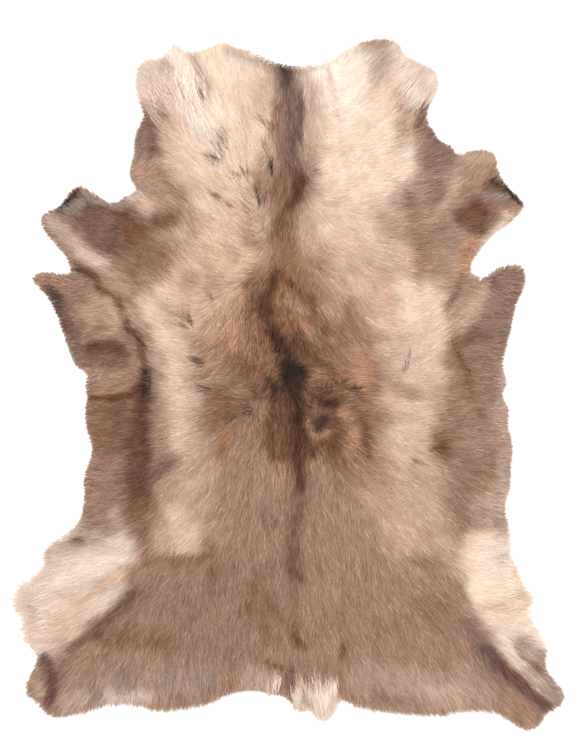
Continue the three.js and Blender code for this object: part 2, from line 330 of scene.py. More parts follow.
    ("left foreleg glint", Tone.GREY_TAUPE, 9, 7, 0.8, [(-403, 319), (-381, 328)]),
    ("left foreleg grey", Tone.GREY_BROWN, 11, 9, 0.6, [(-338, 304), (-342, 261)]),
    ("left foreleg highlight", Tone.PALE_TAUPE, 14, 7, 1, [(-428, 294), (-390, 256), (-338, 218)]),
    ("left foreleg bright highlight", Tone.SAND, 9, 7, 0.9, [(-374, 241), (-338, 214)]),
    ("left foreleg hem", Tone.TAUPE, 7, 4, 0.9, [(-441, 274), (-421, 250), (-396, 222)]),
    ("left elbow", Tone.TAUPE, 47, 15, 1, [(-432, 182), (-360, 132), (-331, 88)]),
    # Painted shade on the left elbow flap's rolled-down outer edge.
    ("left elbow edge", Tone.STRIPE_BROWN, 14, 8, 1, [(-442, 171), (-414, 124), (-399, 85), (-388, 49)]),
    ("left elbow light", Tone.BUFF, 23, 17, 0.95, [(-363, 124), (-349, 146), (-324, 117)]),
    ("left elbow top", Tone.FAWN, 13, 7, 0.8, [(-453, 195), (-399, 187)]),
    # Painted shade in the creases and valleys of the left shoulder and elbow, and in the shadow under the
    # elbow's pillow, over the dark roots that show where the hair parts. The crease gleam row and the
    # pillow's light row are painted highlights.
    ("shoulder crease dark", Tone.DARK_UMBER, 6, 5, 0.9, [(-381, 211), (-354, 196), (-345, 175),
      (-313, 148), (-297, 106)]),
    ("shoulder crease low", Tone.UMBER, 5, 5, 0.9, [(-295, 103), (-273, 67), (-259, 27)]),
    ("shoulder crease black", Tone.NIGHT_UMBER, 3, 4, 1, [(-295, 99), (-280, 92), (-273, 74)]),
    ("crease gleam", Tone.TAN, 9, 7, 0.8, [(-331, 153), (-313, 121)]),
    ("left valley", Tone.UMBER, 13, 7, 1, [(-378, 52), (-351, 70), (-302, 63)]),
    ("left valley dark", Tone.DARK_UMBER, 6, 5, 0.9, [(-367, 69), (-343, 72)]),
    ("left valley end", Tone.DARK_UMBER, 5, 5, 0.8, [(-320, 78), (-309, 60)]),
    ("left elbow foot", Tone.GREY_BROWN, 11, 9, 0.9, [(-406, 88), (-392, 60), (-381, 38)]),
    ("left pillow", Tone.FAWN, 29, 15, 1, [(-349, 9), (-306, 9)]),
    ("left pillow highlight", Tone.LIGHT_TAUPE, 14, 11, 0.6, [(-360, 27), (-318, 24)]),
    ("left valley shade", Tone.DARK_TAUPE, 14, 11, 0.85, [(-360, 45), (-302, 42)]),
    ("elbow crease dark", Tone.BLACK_BROWN, 8, 6, 1, [(-259, 24), (-262, -2), (-277, -12)]),
    ("elbow crease foot", Tone.DARK_UMBER, 11, 9, 0.9, [(-262, -23), (-259, -45)]),
    ("elbow crease thin", Tone.DARK_UMBER, 5, 4, 1, [(-291, -21), (-324, -27), (-363, -25)]),
    ("left band", Tone.DARK_UMBER, 22, 19, 1, [(-262, -23), (-270, -99), (-273, -162), (-275, -210)]),
    ("left band low", Tone.BROWN, 14, 13, 0.85, [(-277, -221), (-271, -293)]),
    ("left flank shade", Tone.DARK_TAUPE, 11, 11, 0.7, [(-306, -36), (-313, -84), (-327, -113)]),
    ("left cream", Tone.SAND, 29, 22, 1, [(-216, 60), (-203, -23), (-207, -102)]),
    ("left cream outer", Tone.FAWN, 16, 14, 0.8, [(-237, -45), (-237, -110)]),
    ("left cream streak", Tone.WARM_CREAM, 22, 22, 1, [(-255, 142), (-223, 88)]),
    ("left gold", Tone.GOLDEN_SAND, 18, 16, 0.8, [(-183, 160), (-172, 106)]),
    ("left gold high", Tone.WARM_CREAM, 16, 16, 0.85, [(-230, 164), (-212, 146)]),
    ("left warm patch", Tone.BUFF, 9, 11, 0.8, [(-187, 193), (-180, 178)]),
    ("left cream low", Tone.TAN, 27, 29, 0.9, [(-169, -178), (-183, -219)]),
    ("left pale low", Tone.SAND, 25, 17, 0.9, [(-190, -282), (-208, -234)]),
    ("left band spur", Tone.DARK_TAUPE, 14, 14, 0.9, [(-255, -164), (-219, -138)]),
    ("back field", Tone.HONEY_BROWN, 65, 39, 0.95, [(-14, 153), (-3, 45), (26, -81)]),
    ("back field left", Tone.HONEY, 22, 24, 0.85, [(-90, 103), (-97, 74)]),
    ("back left shade", Tone.BROWN, 18, 18, 0.95, [(-82, 45), (-72, 2)]),
    ("loin left shade", Tone.BROWN, 23, 24, 0.85, [(-118, -23), (-64, -30)]),
    ("back right dark", Tone.BROWN, 25, 29, 0.8, [(36, 78), (69, 24)]),
    ("back warm right", Tone.WARM_BROWN, 22, 24, 0.85, [(94, 99), (90, 52)]),
    ("mid right light", Tone.HONEY, 18, 16, 0.85, [(123, 63), (126, 6)]),
    ("back left brown", Tone.BROWN, 22, 24, 0.95, [(-64, 178), (-64, 121), (-54, 72), (-54, -2)]),
    ("back left dark", Tone.DARK_UMBER, 13, 14, 1, [(-30, 196), (-45, 150), (-46, 114), (-30, 88)]),
    ("back pale patch", Tone.FAWN, 12, 13, 0.85, [(2, 148), (20, 132)]),
    ("back pale foot", Tone.HONEY, 9, 11, 0.7, [(31, 99), (44, 78)]),
    ("back brown spot", Tone.BROWN, 11, 11, 0.8, [(65, 45), (74, 24)]),
    ("back bridge", Tone.UMBER, 5, 6, 1, [(-19, 186), (0, 182), (20, 169), (35, 155), (38, 128)]),
    ("back bridge tail", Tone.BROWN, 5, 7, 0.8, [(38, 128), (53, 110)]),
    ("back spot", Tone.DARK_UMBER, 5, 5, 1, [(60, 110), (62, 94)]),
    ("back dark", Tone.NIGHT_UMBER, 15, 13, 1, [(-27, 92), (-16, 69)]),
    ("back shoulder", Tone.UMBER, 15, 14, 0.9, [(13, 87), (22, 67), (35, 43)]),
    ("back dark haze", Tone.NIGHT_UMBER, 14, 13, 0.9, [(-5, 72), (-1, 43)]),
    ("back dark low", Tone.NIGHT_UMBER, 18, 14, 1, [(-3, 25), (4, -9)]),
    ("back wing", Tone.UMBER, 9, 9, 0.9, [(-54, 13), (-36, 2)]),
    ("back black foot", Tone.BLACK_BROWN, 7, 7, 1, [(-43, 7), (-30, 0), (-34, -21)]),
    ("back black fringe", Tone.BLACK_BROWN, 11, 9, 1, [(-12, 9), (-3, 34)]),
    ("back black", Tone.BLACK_BROWN, 15, 9, 1, [(-1, 18), (17, 16)]),
    ("spine brown", Tone.DARK_UMBER, 22, 19, 0.95, [(-5, -23), (4, -81), (11, -124)]),
    ("spine column", Tone.NIGHT_UMBER, 8, 9, 1, [(17, -2), (9, -48), (9, -77)]),
    ("spine column low", Tone.DARK_UMBER, 10, 9, 1, [(9, -81), (11, -106)]),
    ("spine column foot", Tone.UMBER, 10, 9, 1, [(13, -129), (20, -167)]),
    ("spine right side", Tone.DARK_UMBER, 13, 11, 0.95, [(31, -20), (29, -70)]),
    ("spine side", Tone.UMBER, 9, 9, 0.7, [(-16, -63), (-12, -120)]),
    ("loin bar left", Tone.UMBER, 10, 9, 1, [(-28, -30), (-37, -77), (-36, -110), (-32, -128)]),
    ("loin pale left", Tone.LIGHT_TAUPE, 13, 14, 0.55, [(-75, -81), (-68, -99)]),
    ("loin left haze", Tone.BROWN, 22, 24, 0.6, [(-151, -63), (-97, -63), (-54, -106)]),
    ("loin brown right", Tone.BROWN, 29, 22, 0.9, [(58, -27), (65, -99)]),
    ("ring top dark", Tone.NIGHT_UMBER, 10, 8, 1, [(63, -38), (78, -36)]),
    ("ring core dark", Tone.DARK_UMBER, 14, 11, 1, [(42, -81), (51, -70), (63, -63)]),
    ("ring core brown", Tone.UMBER, 15, 9, 1, [(78, -66), (81, -88)]),
    ("ring between", Tone.HONEY_BROWN, 4, 5, 0.85, [(44, -45), (65, -54)]),
    ("ring crescent", Tone.HONEY, 4, 5, 0.8, [(26, -66), (29, -90), (49, -92), (67, -83)]),
    ("ring core night", Tone.NIGHT_UMBER, 11, 9, 1, [(45, -75), (56, -66)]),
    ("ring foot", Tone.DARK_UMBER, 11, 11, 0.95, [(54, -111), (85, -117)]),
    ("ring foot low", Tone.BROWN, 14, 14, 0.85, [(58, -135), (90, -138)]),
    ("shoulder left pale", Tone.SAND, 13, 14, 0.8, [(-277, 337), (-262, 322)]),
    ("elbow left pale", Tone.BUFF, 14, 14, 0.85, [(-322, 200), (-306, 178)]),
    ("flank left corner", Tone.TAN, 13, 14, 0.75, [(-237, -270), (-234, -290)]),
    ("elbow right haze", Tone.SAND, 14, 16, 0.6, [(267, 114), (269, 81)]),
    ("left flap shade", Tone.DARK_TAUPE, 14, 14, 0.75, [(-406, 124), (-392, 106)]),
    ("thigh left haze", Tone.SAND, 20, 18, 0.7, [(-450, -412), (-435, -437)]),
    ("thigh left warm haze", Tone.WARM_CREAM, 20, 18, 0.7, [(-363, -380), (-345, -394)]),
    ("foreleg right haze", Tone.TAUPE, 9, 9, 0.8, [(387, 326), (398, 322)]),
    ("foreleg right haze low", Tone.UMBER, 14, 13, 0.9, [(328, 301), (339, 290)]),
    ("neck corner shade", Tone.LIGHT_TAUPE, 11, 11, 0.9, [(-250, 492), (-237, 481)]),
    ("ring foot left", Tone.DARK_UMBER, 6, 7, 1, [(20, -92), (31, -117), (45, -128)]),
    ("ring gap", Tone.HONEY, 8, 9, 0.95, [(99, -48), (110, -81), (105, -117)]),
    ("ring arc", Tone.UMBER, 5, 6, 1, [(87, -18), (114, -39), (132, -70), (137, -99), (132, -128)]),
    ("above ring dark", Tone.UMBER, 7, 9, 0.85, [(36, -20), (69, -12)]),
    ("loin shade", Tone.GREY_BROWN, 9, 11, 0.8, [(-50, -218), (-39, -257)]),
    ("loin gold", Tone.FAWN, 13, 13, 0.8, [(-144, -246), (-151, -282)]),
    ("spine low", Tone.DARK_TAUPE, 14, 13, 0.95, [(18, -167), (15, -225), (0, -288), (4, -342)]),
    ("spine low dark", Tone.DARK_UMBER, 8, 9, 0.9, [(15, -156), (20, -185)]),
    ("spine low spot", Tone.UMBER, 5, 6, 0.9, [(0, -336), (18, -351)]),
    ("crown edge warm", Tone.FAWN, 13, 13, 0.6, [(76, 63), (83, 45)]),
    ("spine tail", Tone.BROWN, 7, 9, 0.8, [(8, -369), (8, -459)]),
    # Painted shadow along the rump's upper edge, in this row and in the edge line row below.
    ("rump edge shadow", Tone.BROWN, 9, 9, 0.7, [(-255, -318), (-165, -318), (-140, -293)]),
    ("rump left shade", Tone.BROWN, 18, 16, 0.8, [(-345, -452), (-273, -459), (-223, -470)]),
    ("rump gold", Tone.BROWN, 13, 13, 0.95, [(-75, -362), (-79, -408)]),
    ("rump edge shadow line", Tone.BROWN, 5, 6, 0.9, [(-237, -318), (-165, -317), (-156, -290)]),
    ("rump spot left", Tone.BROWN, 7, 7, 0.8, [(-144, -318), (-147, -354)]),
    ("rump streak", Tone.BROWN, 11, 11, 0.8, [(-43, -383), (-14, -426), (15, -473)]),
    ("rump gold side", Tone.BROWN, 14, 13, 0.7, [(-54, -383), (-50, -462)]),
    ("rump hem left", Tone.GREY_TAUPE, 27, 22, 0.55, [(-360, -549), (-255, -534), (-156, -534)]),
    ("rump hem pale", Tone.PALE_SAND, 13, 11, 0.8, [(-324, -563), (-266, -563)]),
    ("rump hem dark", Tone.GREY_BROWN, 9, 5, 0.5, [(-219, -569), (-165, -563), (-108, -543)]),
    ("rump hem right", Tone.PALE_TAUPE, 31, 24, 0.6, [(134, -531), (231, -545), (342, -549)]),
    ("rump hem right pale", Tone.SAND, 13, 16, 0.35, [(242, -549), (306, -552)]),
    ("rump hem right dark", Tone.GREY_BROWN, 9, 7, 0.5, [(155, -563), (195, -574), (240, -570)]),
    ("tail left", Tone.PALE_TAUPE, 23, 17, 0.9, [(-72, -531), (-46, -538)]),
    ("tail root dark", Tone.UMBER, 7, 5, 0.9, [(-43, -500), (-23, -509)]),
    ("tail mid dark", Tone.DARK_TAUPE, 9, 7, 0.9, [(0, -516), (-7, -545)]),
    ("tail", Tone.SAND, 14, 13, 0.9, [(47, -560), (54, -588)]),
    ("tail rim", Tone.PALE_SAND, 14, 7, 1, [(17, -581), (36, -596), (58, -610), (81, -574)]),
    ("tail small tuft", Tone.SAND, 5, 5, 0.8, [(11, -560), (18, -578)]),
    ("tail edge", Tone.BROWN, 5, 5, 0.8, [(47, -497), (76, -509), (83, -545)]),
    ("rump spot low", Tone.UMBER, 7, 7, 0.9, [(94, -471), (94, -488)]),
    ("rump spot spine", Tone.UMBER, 7, 7, 0.8, [(13, -459), (17, -473)]),
    ("rump shade right", Tone.BROWN, 14, 14, 0.7, [(249, -408), (278, -398)]),
    ("left thigh cream", Tone.PALE_SAND, 31, 15, 1, [(-414, -318), (-345, -297), (-313, -300)]),
    ("left thigh mid", Tone.PALE_SAND, 43, 15, 1, [(-442, -390), (-396, -383), (-352, -362)]),
    ("left thigh low", Tone.SAND, 29, 15, 1, [(-450, -441), (-406, -437)]),
    ("left thigh bright", Tone.PALE_CREAM, 13, 13, 0.5, [(-417, -351), (-352, -326), (-320, -315)]),
    ("left thigh orange", Tone.GOLDEN_SAND, 11, 9, 0.9, [(-388, -398), (-349, -372), (-309, -340)]),
    ("left thigh smudge", Tone.PALE_TAUPE, 16, 11, 0.85, [(-442, -308), (-406, -291), (-352, -275)]),
    ("left thigh spot", Tone.DARK_TAUPE, 8, 7, 1, [(-392, -281), (-379, -284)]),
    ("left thigh line", Tone.GOLDEN_SAND, 7, 7, 0.8, [(-428, -372), (-406, -383), (-378, -390)]),
    ("left thigh hem", Tone.PALE_TAUPE, 9, 5, 0.7, [(-471, -387), (-464, -412)]),
    # Painted shadow under the step of the left thigh, also drawn as dark hairs among the flecks.
    ("left thigh step shadow", Tone.DARK_TAUPE, 11, 9, 0.9, [(-288, -380), (-324, -416), (-354, -448),
      (-396, -473)]),
    ("left hind foot", Tone.TAUPE, 22, 12, 0.9, [(-450, -538), (-428, -574)]),
    # Painted shade in the crease beside the left hind foot's pad, over the dark roots in the parting.
    ("left hind foot dark", Tone.STRIPE_BROWN, 10, 8, 1, [(-450, -495), (-432, -520), (-435, -552),
      (-442, -578)]),
    ("left hind foot pad", Tone.PALE_TAUPE, 7, 7, 0.85, [(-459, -536), (-460, -556)]),
    ("left hind foot mid", Tone.GREY_BROWN, 9, 7, 0.9, [(-414, -502), (-410, -538)]),
    ("left hind foot light", Tone.PALE_TAUPE, 16, 9, 0.9, [(-406, -581), (-374, -560)]),
    ("left hind foot top", Tone.DARK_TAUPE, 9, 5, 0.9, [(-453, -498)]),
    ("right thigh cream", Tone.CREAM, 36, 15, 1, [(351, -293), (342, -336), (357, -387)]),
    ("right thigh cream edge", Tone.PALE_SAND, 25, 12, 1, [(384, -342), (396, -369)]),
    ("right thigh bright", Tone.PALE_CREAM, 14, 13, 0.3, [(353, -315), (364, -336)]),
    ("right thigh low", Tone.CREAM, 23, 15, 1, [(364, -419), (393, -437), (414, -430)]),
    ("right thigh orange", Tone.GOLDEN_SAND, 7, 7, 0.8, [(346, -401), (384, -398), (418, -387)]),
    ("right hind spot", Tone.PALE_TAUPE, 14, 9, 0.95, [(425, -466), (440, -491)]),
    ("right hind ridge", Tone.PALE_SAND, 16, 9, 1, [(375, -455), (404, -491), (414, -504)]),
    ("right hind ridge low", Tone.PALE_TAUPE, 16, 11, 1, [(434, -525), (461, -547)]),
    ("right hind ridge end", Tone.GREY_TAUPE, 13, 9, 0.9, [(459, -547), (479, -563)]),
    ("right hind line", Tone.GREY_BROWN, 4, 4, 0.95, [(409, -464), (416, -486), (431, -498), (449, -509)]),
    ("right hind shade", Tone.GREY_BROWN, 18, 13, 0.9, [(315, -430), (339, -473), (375, -531)]),
    # Painted shade in the valley beside the right hind leg's ridge, over the dark roots in the parting.
    ("right hind dark", Tone.STRIPE_BROWN, 9, 7, 0.95, [(350, -477), (375, -506), (398, -534), (425, -558),
      (461, -578)]),
    ("right hind lobe", Tone.FAWN, 22, 15, 0.9, [(384, -567), (422, -599)]),
    ("right thigh edge", Tone.TAUPE, 6, 7, 0.8, [(305, -365), (319, -394), (335, -430)]),
    ("right thigh inner", Tone.TAN, 16, 13, 0.85, [(294, -297), (301, -336)]),
    ("right thigh corner", Tone.CREAM, 14, 11, 0.9, [(317, -306), (326, -333)]),
]
MARKINGS = [Marking(*row) for row in MARKING_ROWS]

LIES = [
    Lie("neck left", [
        (-268, 567, 150), (-255, 540, 150), (-246, 504, 145), (-228, 468, 135), (-210, 585, 108),
        (-183, 531, 112), (-147, 441, 135), (-126, 342, 135), (-93, 396, 110), (-138, 567, 108),
        (-75, 513, 104),
    ]),
    Lie("spine at the neck", [(-12, 576, 270), (0, 477, 270), (8, 396, 270), (0, 324, 272)]),
    Lie("neck left edge", [(-261, 468, 230), (-277, 423, 240), (-282, 378, 200), (-255, 324, 150)]),
    Lie("left foreleg", [
        (-417, 288, 167), (-363, 306, 160), (-345, 243, 160), (-291, 270, 160), (-237, 243, 150),
        (-201, 261, 140),
    ]),
    Lie("left shoulder", [
        (-228, 171, 150), (-246, 117, 155), (-192, 117, 165), (-147, 225, 150), (-102, 288, 145),
    ]),
    Lie("left elbow", [(-417, 180, 180), (-363, 135, 185), (-399, 99, 195), (-327, 9, 195)]),
    Lie("left flank", [(-345, -81, 185), (-345, -189, 188), (-264, -99, 190), (-264, -207, 205)]),
    Lie("left side", [
        (-219, 45, 165), (-210, -27, 180), (-216, -99, 192), (-219, -153, 205), (-219, -225, 220),
        (-228, -297, 230), (-165, -207, 240), (-111, -153, 255),
    ]),
    Lie("left thigh", [
        (-363, -297, 182), (-417, -333, 178), (-435, -387, 185), (-363, -387, 198), (-417, -441, 200),
        (-390, -477, 215),
    ]),
    Lie("left hind foot", [(-453, -549, 225), (-408, -576, 230)]),
    Lie("rump left", [
        (-327, -423, 225), (-327, -495, 248), (-255, -459, 255), (-255, -549, 262), (-165, -477, 266),
        (-129, -369, 265),
    ]),
    Lie("rump middle", [(-3, -387, 270), (-3, -531, 268), (51, -549, 285), (96, -549, 292)]),
    Lie("rump right", [
        (123, -459, 290), (159, -549, 305), (195, -477, 296), (249, -549, 298), (285, -477, 302),
        (267, -369, 312), (339, -549, 305), (375, -549, 308),
    ]),
    Lie("right hind foot", [(420, -594, 310), (411, -504, 318), (465, -552, 318)]),
    Lie("right thigh", [
        (339, -288, 358), (357, -342, 352), (357, -387, 350), (384, -396, 8), (411, -432, 345),
        (438, -477, 325),
    ]),
    Lie("right flank", [(357, 63, 0), (357, -27, 358), (357, -117, 356), (366, -207, 355)]),
    Lie("right side", [
        (267, -27, 8), (249, 99, 30), (231, 45, 18), (222, -63, 0), (249, -171, 330), (267, -243, 315),
        (303, -207, 322), (231, -279, 310), (195, -171, 325), (159, -117, 330), (141, -27, 345),
        (159, 153, 340),
    ]),
    Lie("right shoulder", [
        (267, 306, 20), (294, 243, 5), (321, 234, 345), (375, 171, 355), (348, 135, 350),
    ]),
    Lie("right foreleg", [
        (321, 387, 50), (357, 396, 60), (375, 333, 25), (339, 306, 20), (393, 312, 20),
    ]),
    Lie("neck right", [
        (159, 576, 42), (195, 531, 37), (231, 531, 48), (249, 558, 40), (231, 486, 55), (249, 441, 20),
        (276, 414, 15),
    ]),
    Lie("neck right side", [
        (105, 459, 25), (69, 369, 20), (51, 387, 28), (177, 423, 15), (141, 333, 5), (96, 279, 330),
    ]),
    Lie("back", [
        (15, 279, 280), (96, 153, 300), (-93, 117, 265), (-138, 99, 225), (-3, -207, 268),
        (-3, -297, 268), (87, -243, 285), (87, -333, 285),
    ]),
]

WHORLS = [
    Whorl("withers", (27, 222), 45),
    Whorl("loin right", (63, -77), 72),
    Whorl("loin left", (-72, -41), 58),
    Whorl("mid back", (6, 18), 40),
]

LENGTH_ZONES = [
    LengthZone("back", 19, 5, 45, 30, [(-12, 171), (15, -99)]),
    LengthZone("rump", 24, 5, 60, 40, [(-165, -405), (195, -405)]),
    LengthZone("left shoulder", 17, 4, 30, 20, [(-327, 270), (-255, 306)]),
    LengthZone("right shoulder", 19, 4, 26, 20, [(249, 333), (274, 225)]),
    LengthZone("left flank", 22, 4, 24, 14, [(-324, -45), (-327, -207)]),
    LengthZone("right flank", 22, 4, 24, 14, [(346, 45), (342, -207)]),
    LengthZone("left thigh", 46, 14, 45, 25, [(-399, -315), (-453, -405)]),
    LengthZone("left thigh fringe", 50, 22, 20, 16, [(-471, -369), (-462, -441)]),
    LengthZone("right thigh", 44, 12, 40, 25, [(375, -297), (375, -405)]),
    LengthZone("right thigh fringe", 44, 16, 22, 16, [(456, -387), (465, -459)]),
    LengthZone("neck left tuft", 46, 9, 40, 20, [(-255, 540), (-192, 558)]),
    LengthZone("neck right tuft", 36, 8, 30, 20, [(159, 585), (249, 540)]),
    LengthZone("rump hem left", 38, 13, 26, 20, [(-354, -576), (-156, -549)]),
    LengthZone("rump hem right", 38, 12, 28, 20, [(132, -558), (339, -570)]),
    LengthZone("tail", 34, 8, 22, 14, [(15, -516), (69, -549)]),
    LengthZone("neck top", 24, 1.5, 16, 10, [(-54, 578), (-3, 574), (60, 580)]),
    LengthZone("left foreleg", 16, 1.2, 26, 14, [(-421, 306), (-345, 306)]),
    LengthZone("right foreleg", 17, 1.2, 26, 14, [(342, 324), (396, 324)]),
    LengthZone("left hind foot", 28, 12, 26, 14, [(-444, -549)]),
    LengthZone("right hind foot", 26, 9, 30, 16, [(438, -567)]),
    LengthZone("left elbow", 15, 2.5, 34, 16, [(-399, 153), (-345, 27)]),
    LengthZone("right elbow", 16, 4, 24, 16, [(366, 180), (339, 153)]),
    LengthZone("left crease", 13, 4, 12, 10, [
        (-381, 211), (-313, 148), (-297, 106), (-270, 63), (-259, 18), (-288, -20),
    ]),
]

LIVELY_ZONES = [
    LivelyZone("crown", 0.7, 70, 50, [(-45, 140), (10, 0), (20, -90)]),
    LivelyZone("neck left", 0.5, 70, 50, [(-140, 450), (-95, 320)]),
    LivelyZone("side left", 0.3, 60, 50, [(-125, 150), (-130, -40)]),
]

CREASES = [
    Crease("shoulder crease left", 6, 8, [(-381, 211), (-354, 196), (-345, 175), (-313, 148), (-297, 106)]),
    Crease("shoulder crease left low", 4, 10, [(-295, 103), (-273, 67), (-259, 27)]),
    Crease("elbow valley left", 6, 12, [(-378, 52), (-351, 70), (-302, 63)]),
    Crease("elbow crease left", 8, 8, [(-261, 24), (-264, -2), (-291, -20)]),
    Crease("elbow crease thin", 3, 5, [(-291, -21), (-324, -27), (-363, -25)]),
    Crease("flank valley left", 4, 20, [(-255, -23), (-264, -99), (-270, -162), (-279, -207)]),
    Crease("elbow crease right", 6, 7, [(310, 195), (296, 168), (278, 139)]),
    Crease("flank crease right", 3, 9, [(285, 96), (301, 56), (317, 13), (324, -18)]),
    Crease("hind leg crease right", 4, 8, [(357, -477), (396, -520), (429, -549), (465, -576)]),
    Crease("thigh step left", 3, 10, [(-280, -372), (-324, -412), (-354, -444), (-396, -473)]),
    Crease("thigh step right", 3, 8, [(290, -336), (308, -378), (332, -426)]),
    Crease("neck parting", 2, 3, [(63, 582), (76, 522), (83, 459), (96, 396)]),
    Crease("spine parting", 3, 7, [(2, -167), (9, -243), (4, -369), (8, -459)]),
    Crease("mid back whorl", 4, 12, [(6, 34), (0, -2)]),
    Crease("loin ring", 3, 8, [(38, -84), (38, -59), (47, -30), (89, -41), (112, -48)]),
    Crease("neck crease right", 3, 8, [(224, 470), (233, 405), (233, 358)]),
    Crease("hind foot crease left", 3, 7, [(-450, -495), (-430, -524), (-435, -556), (-442, -578)]),
]

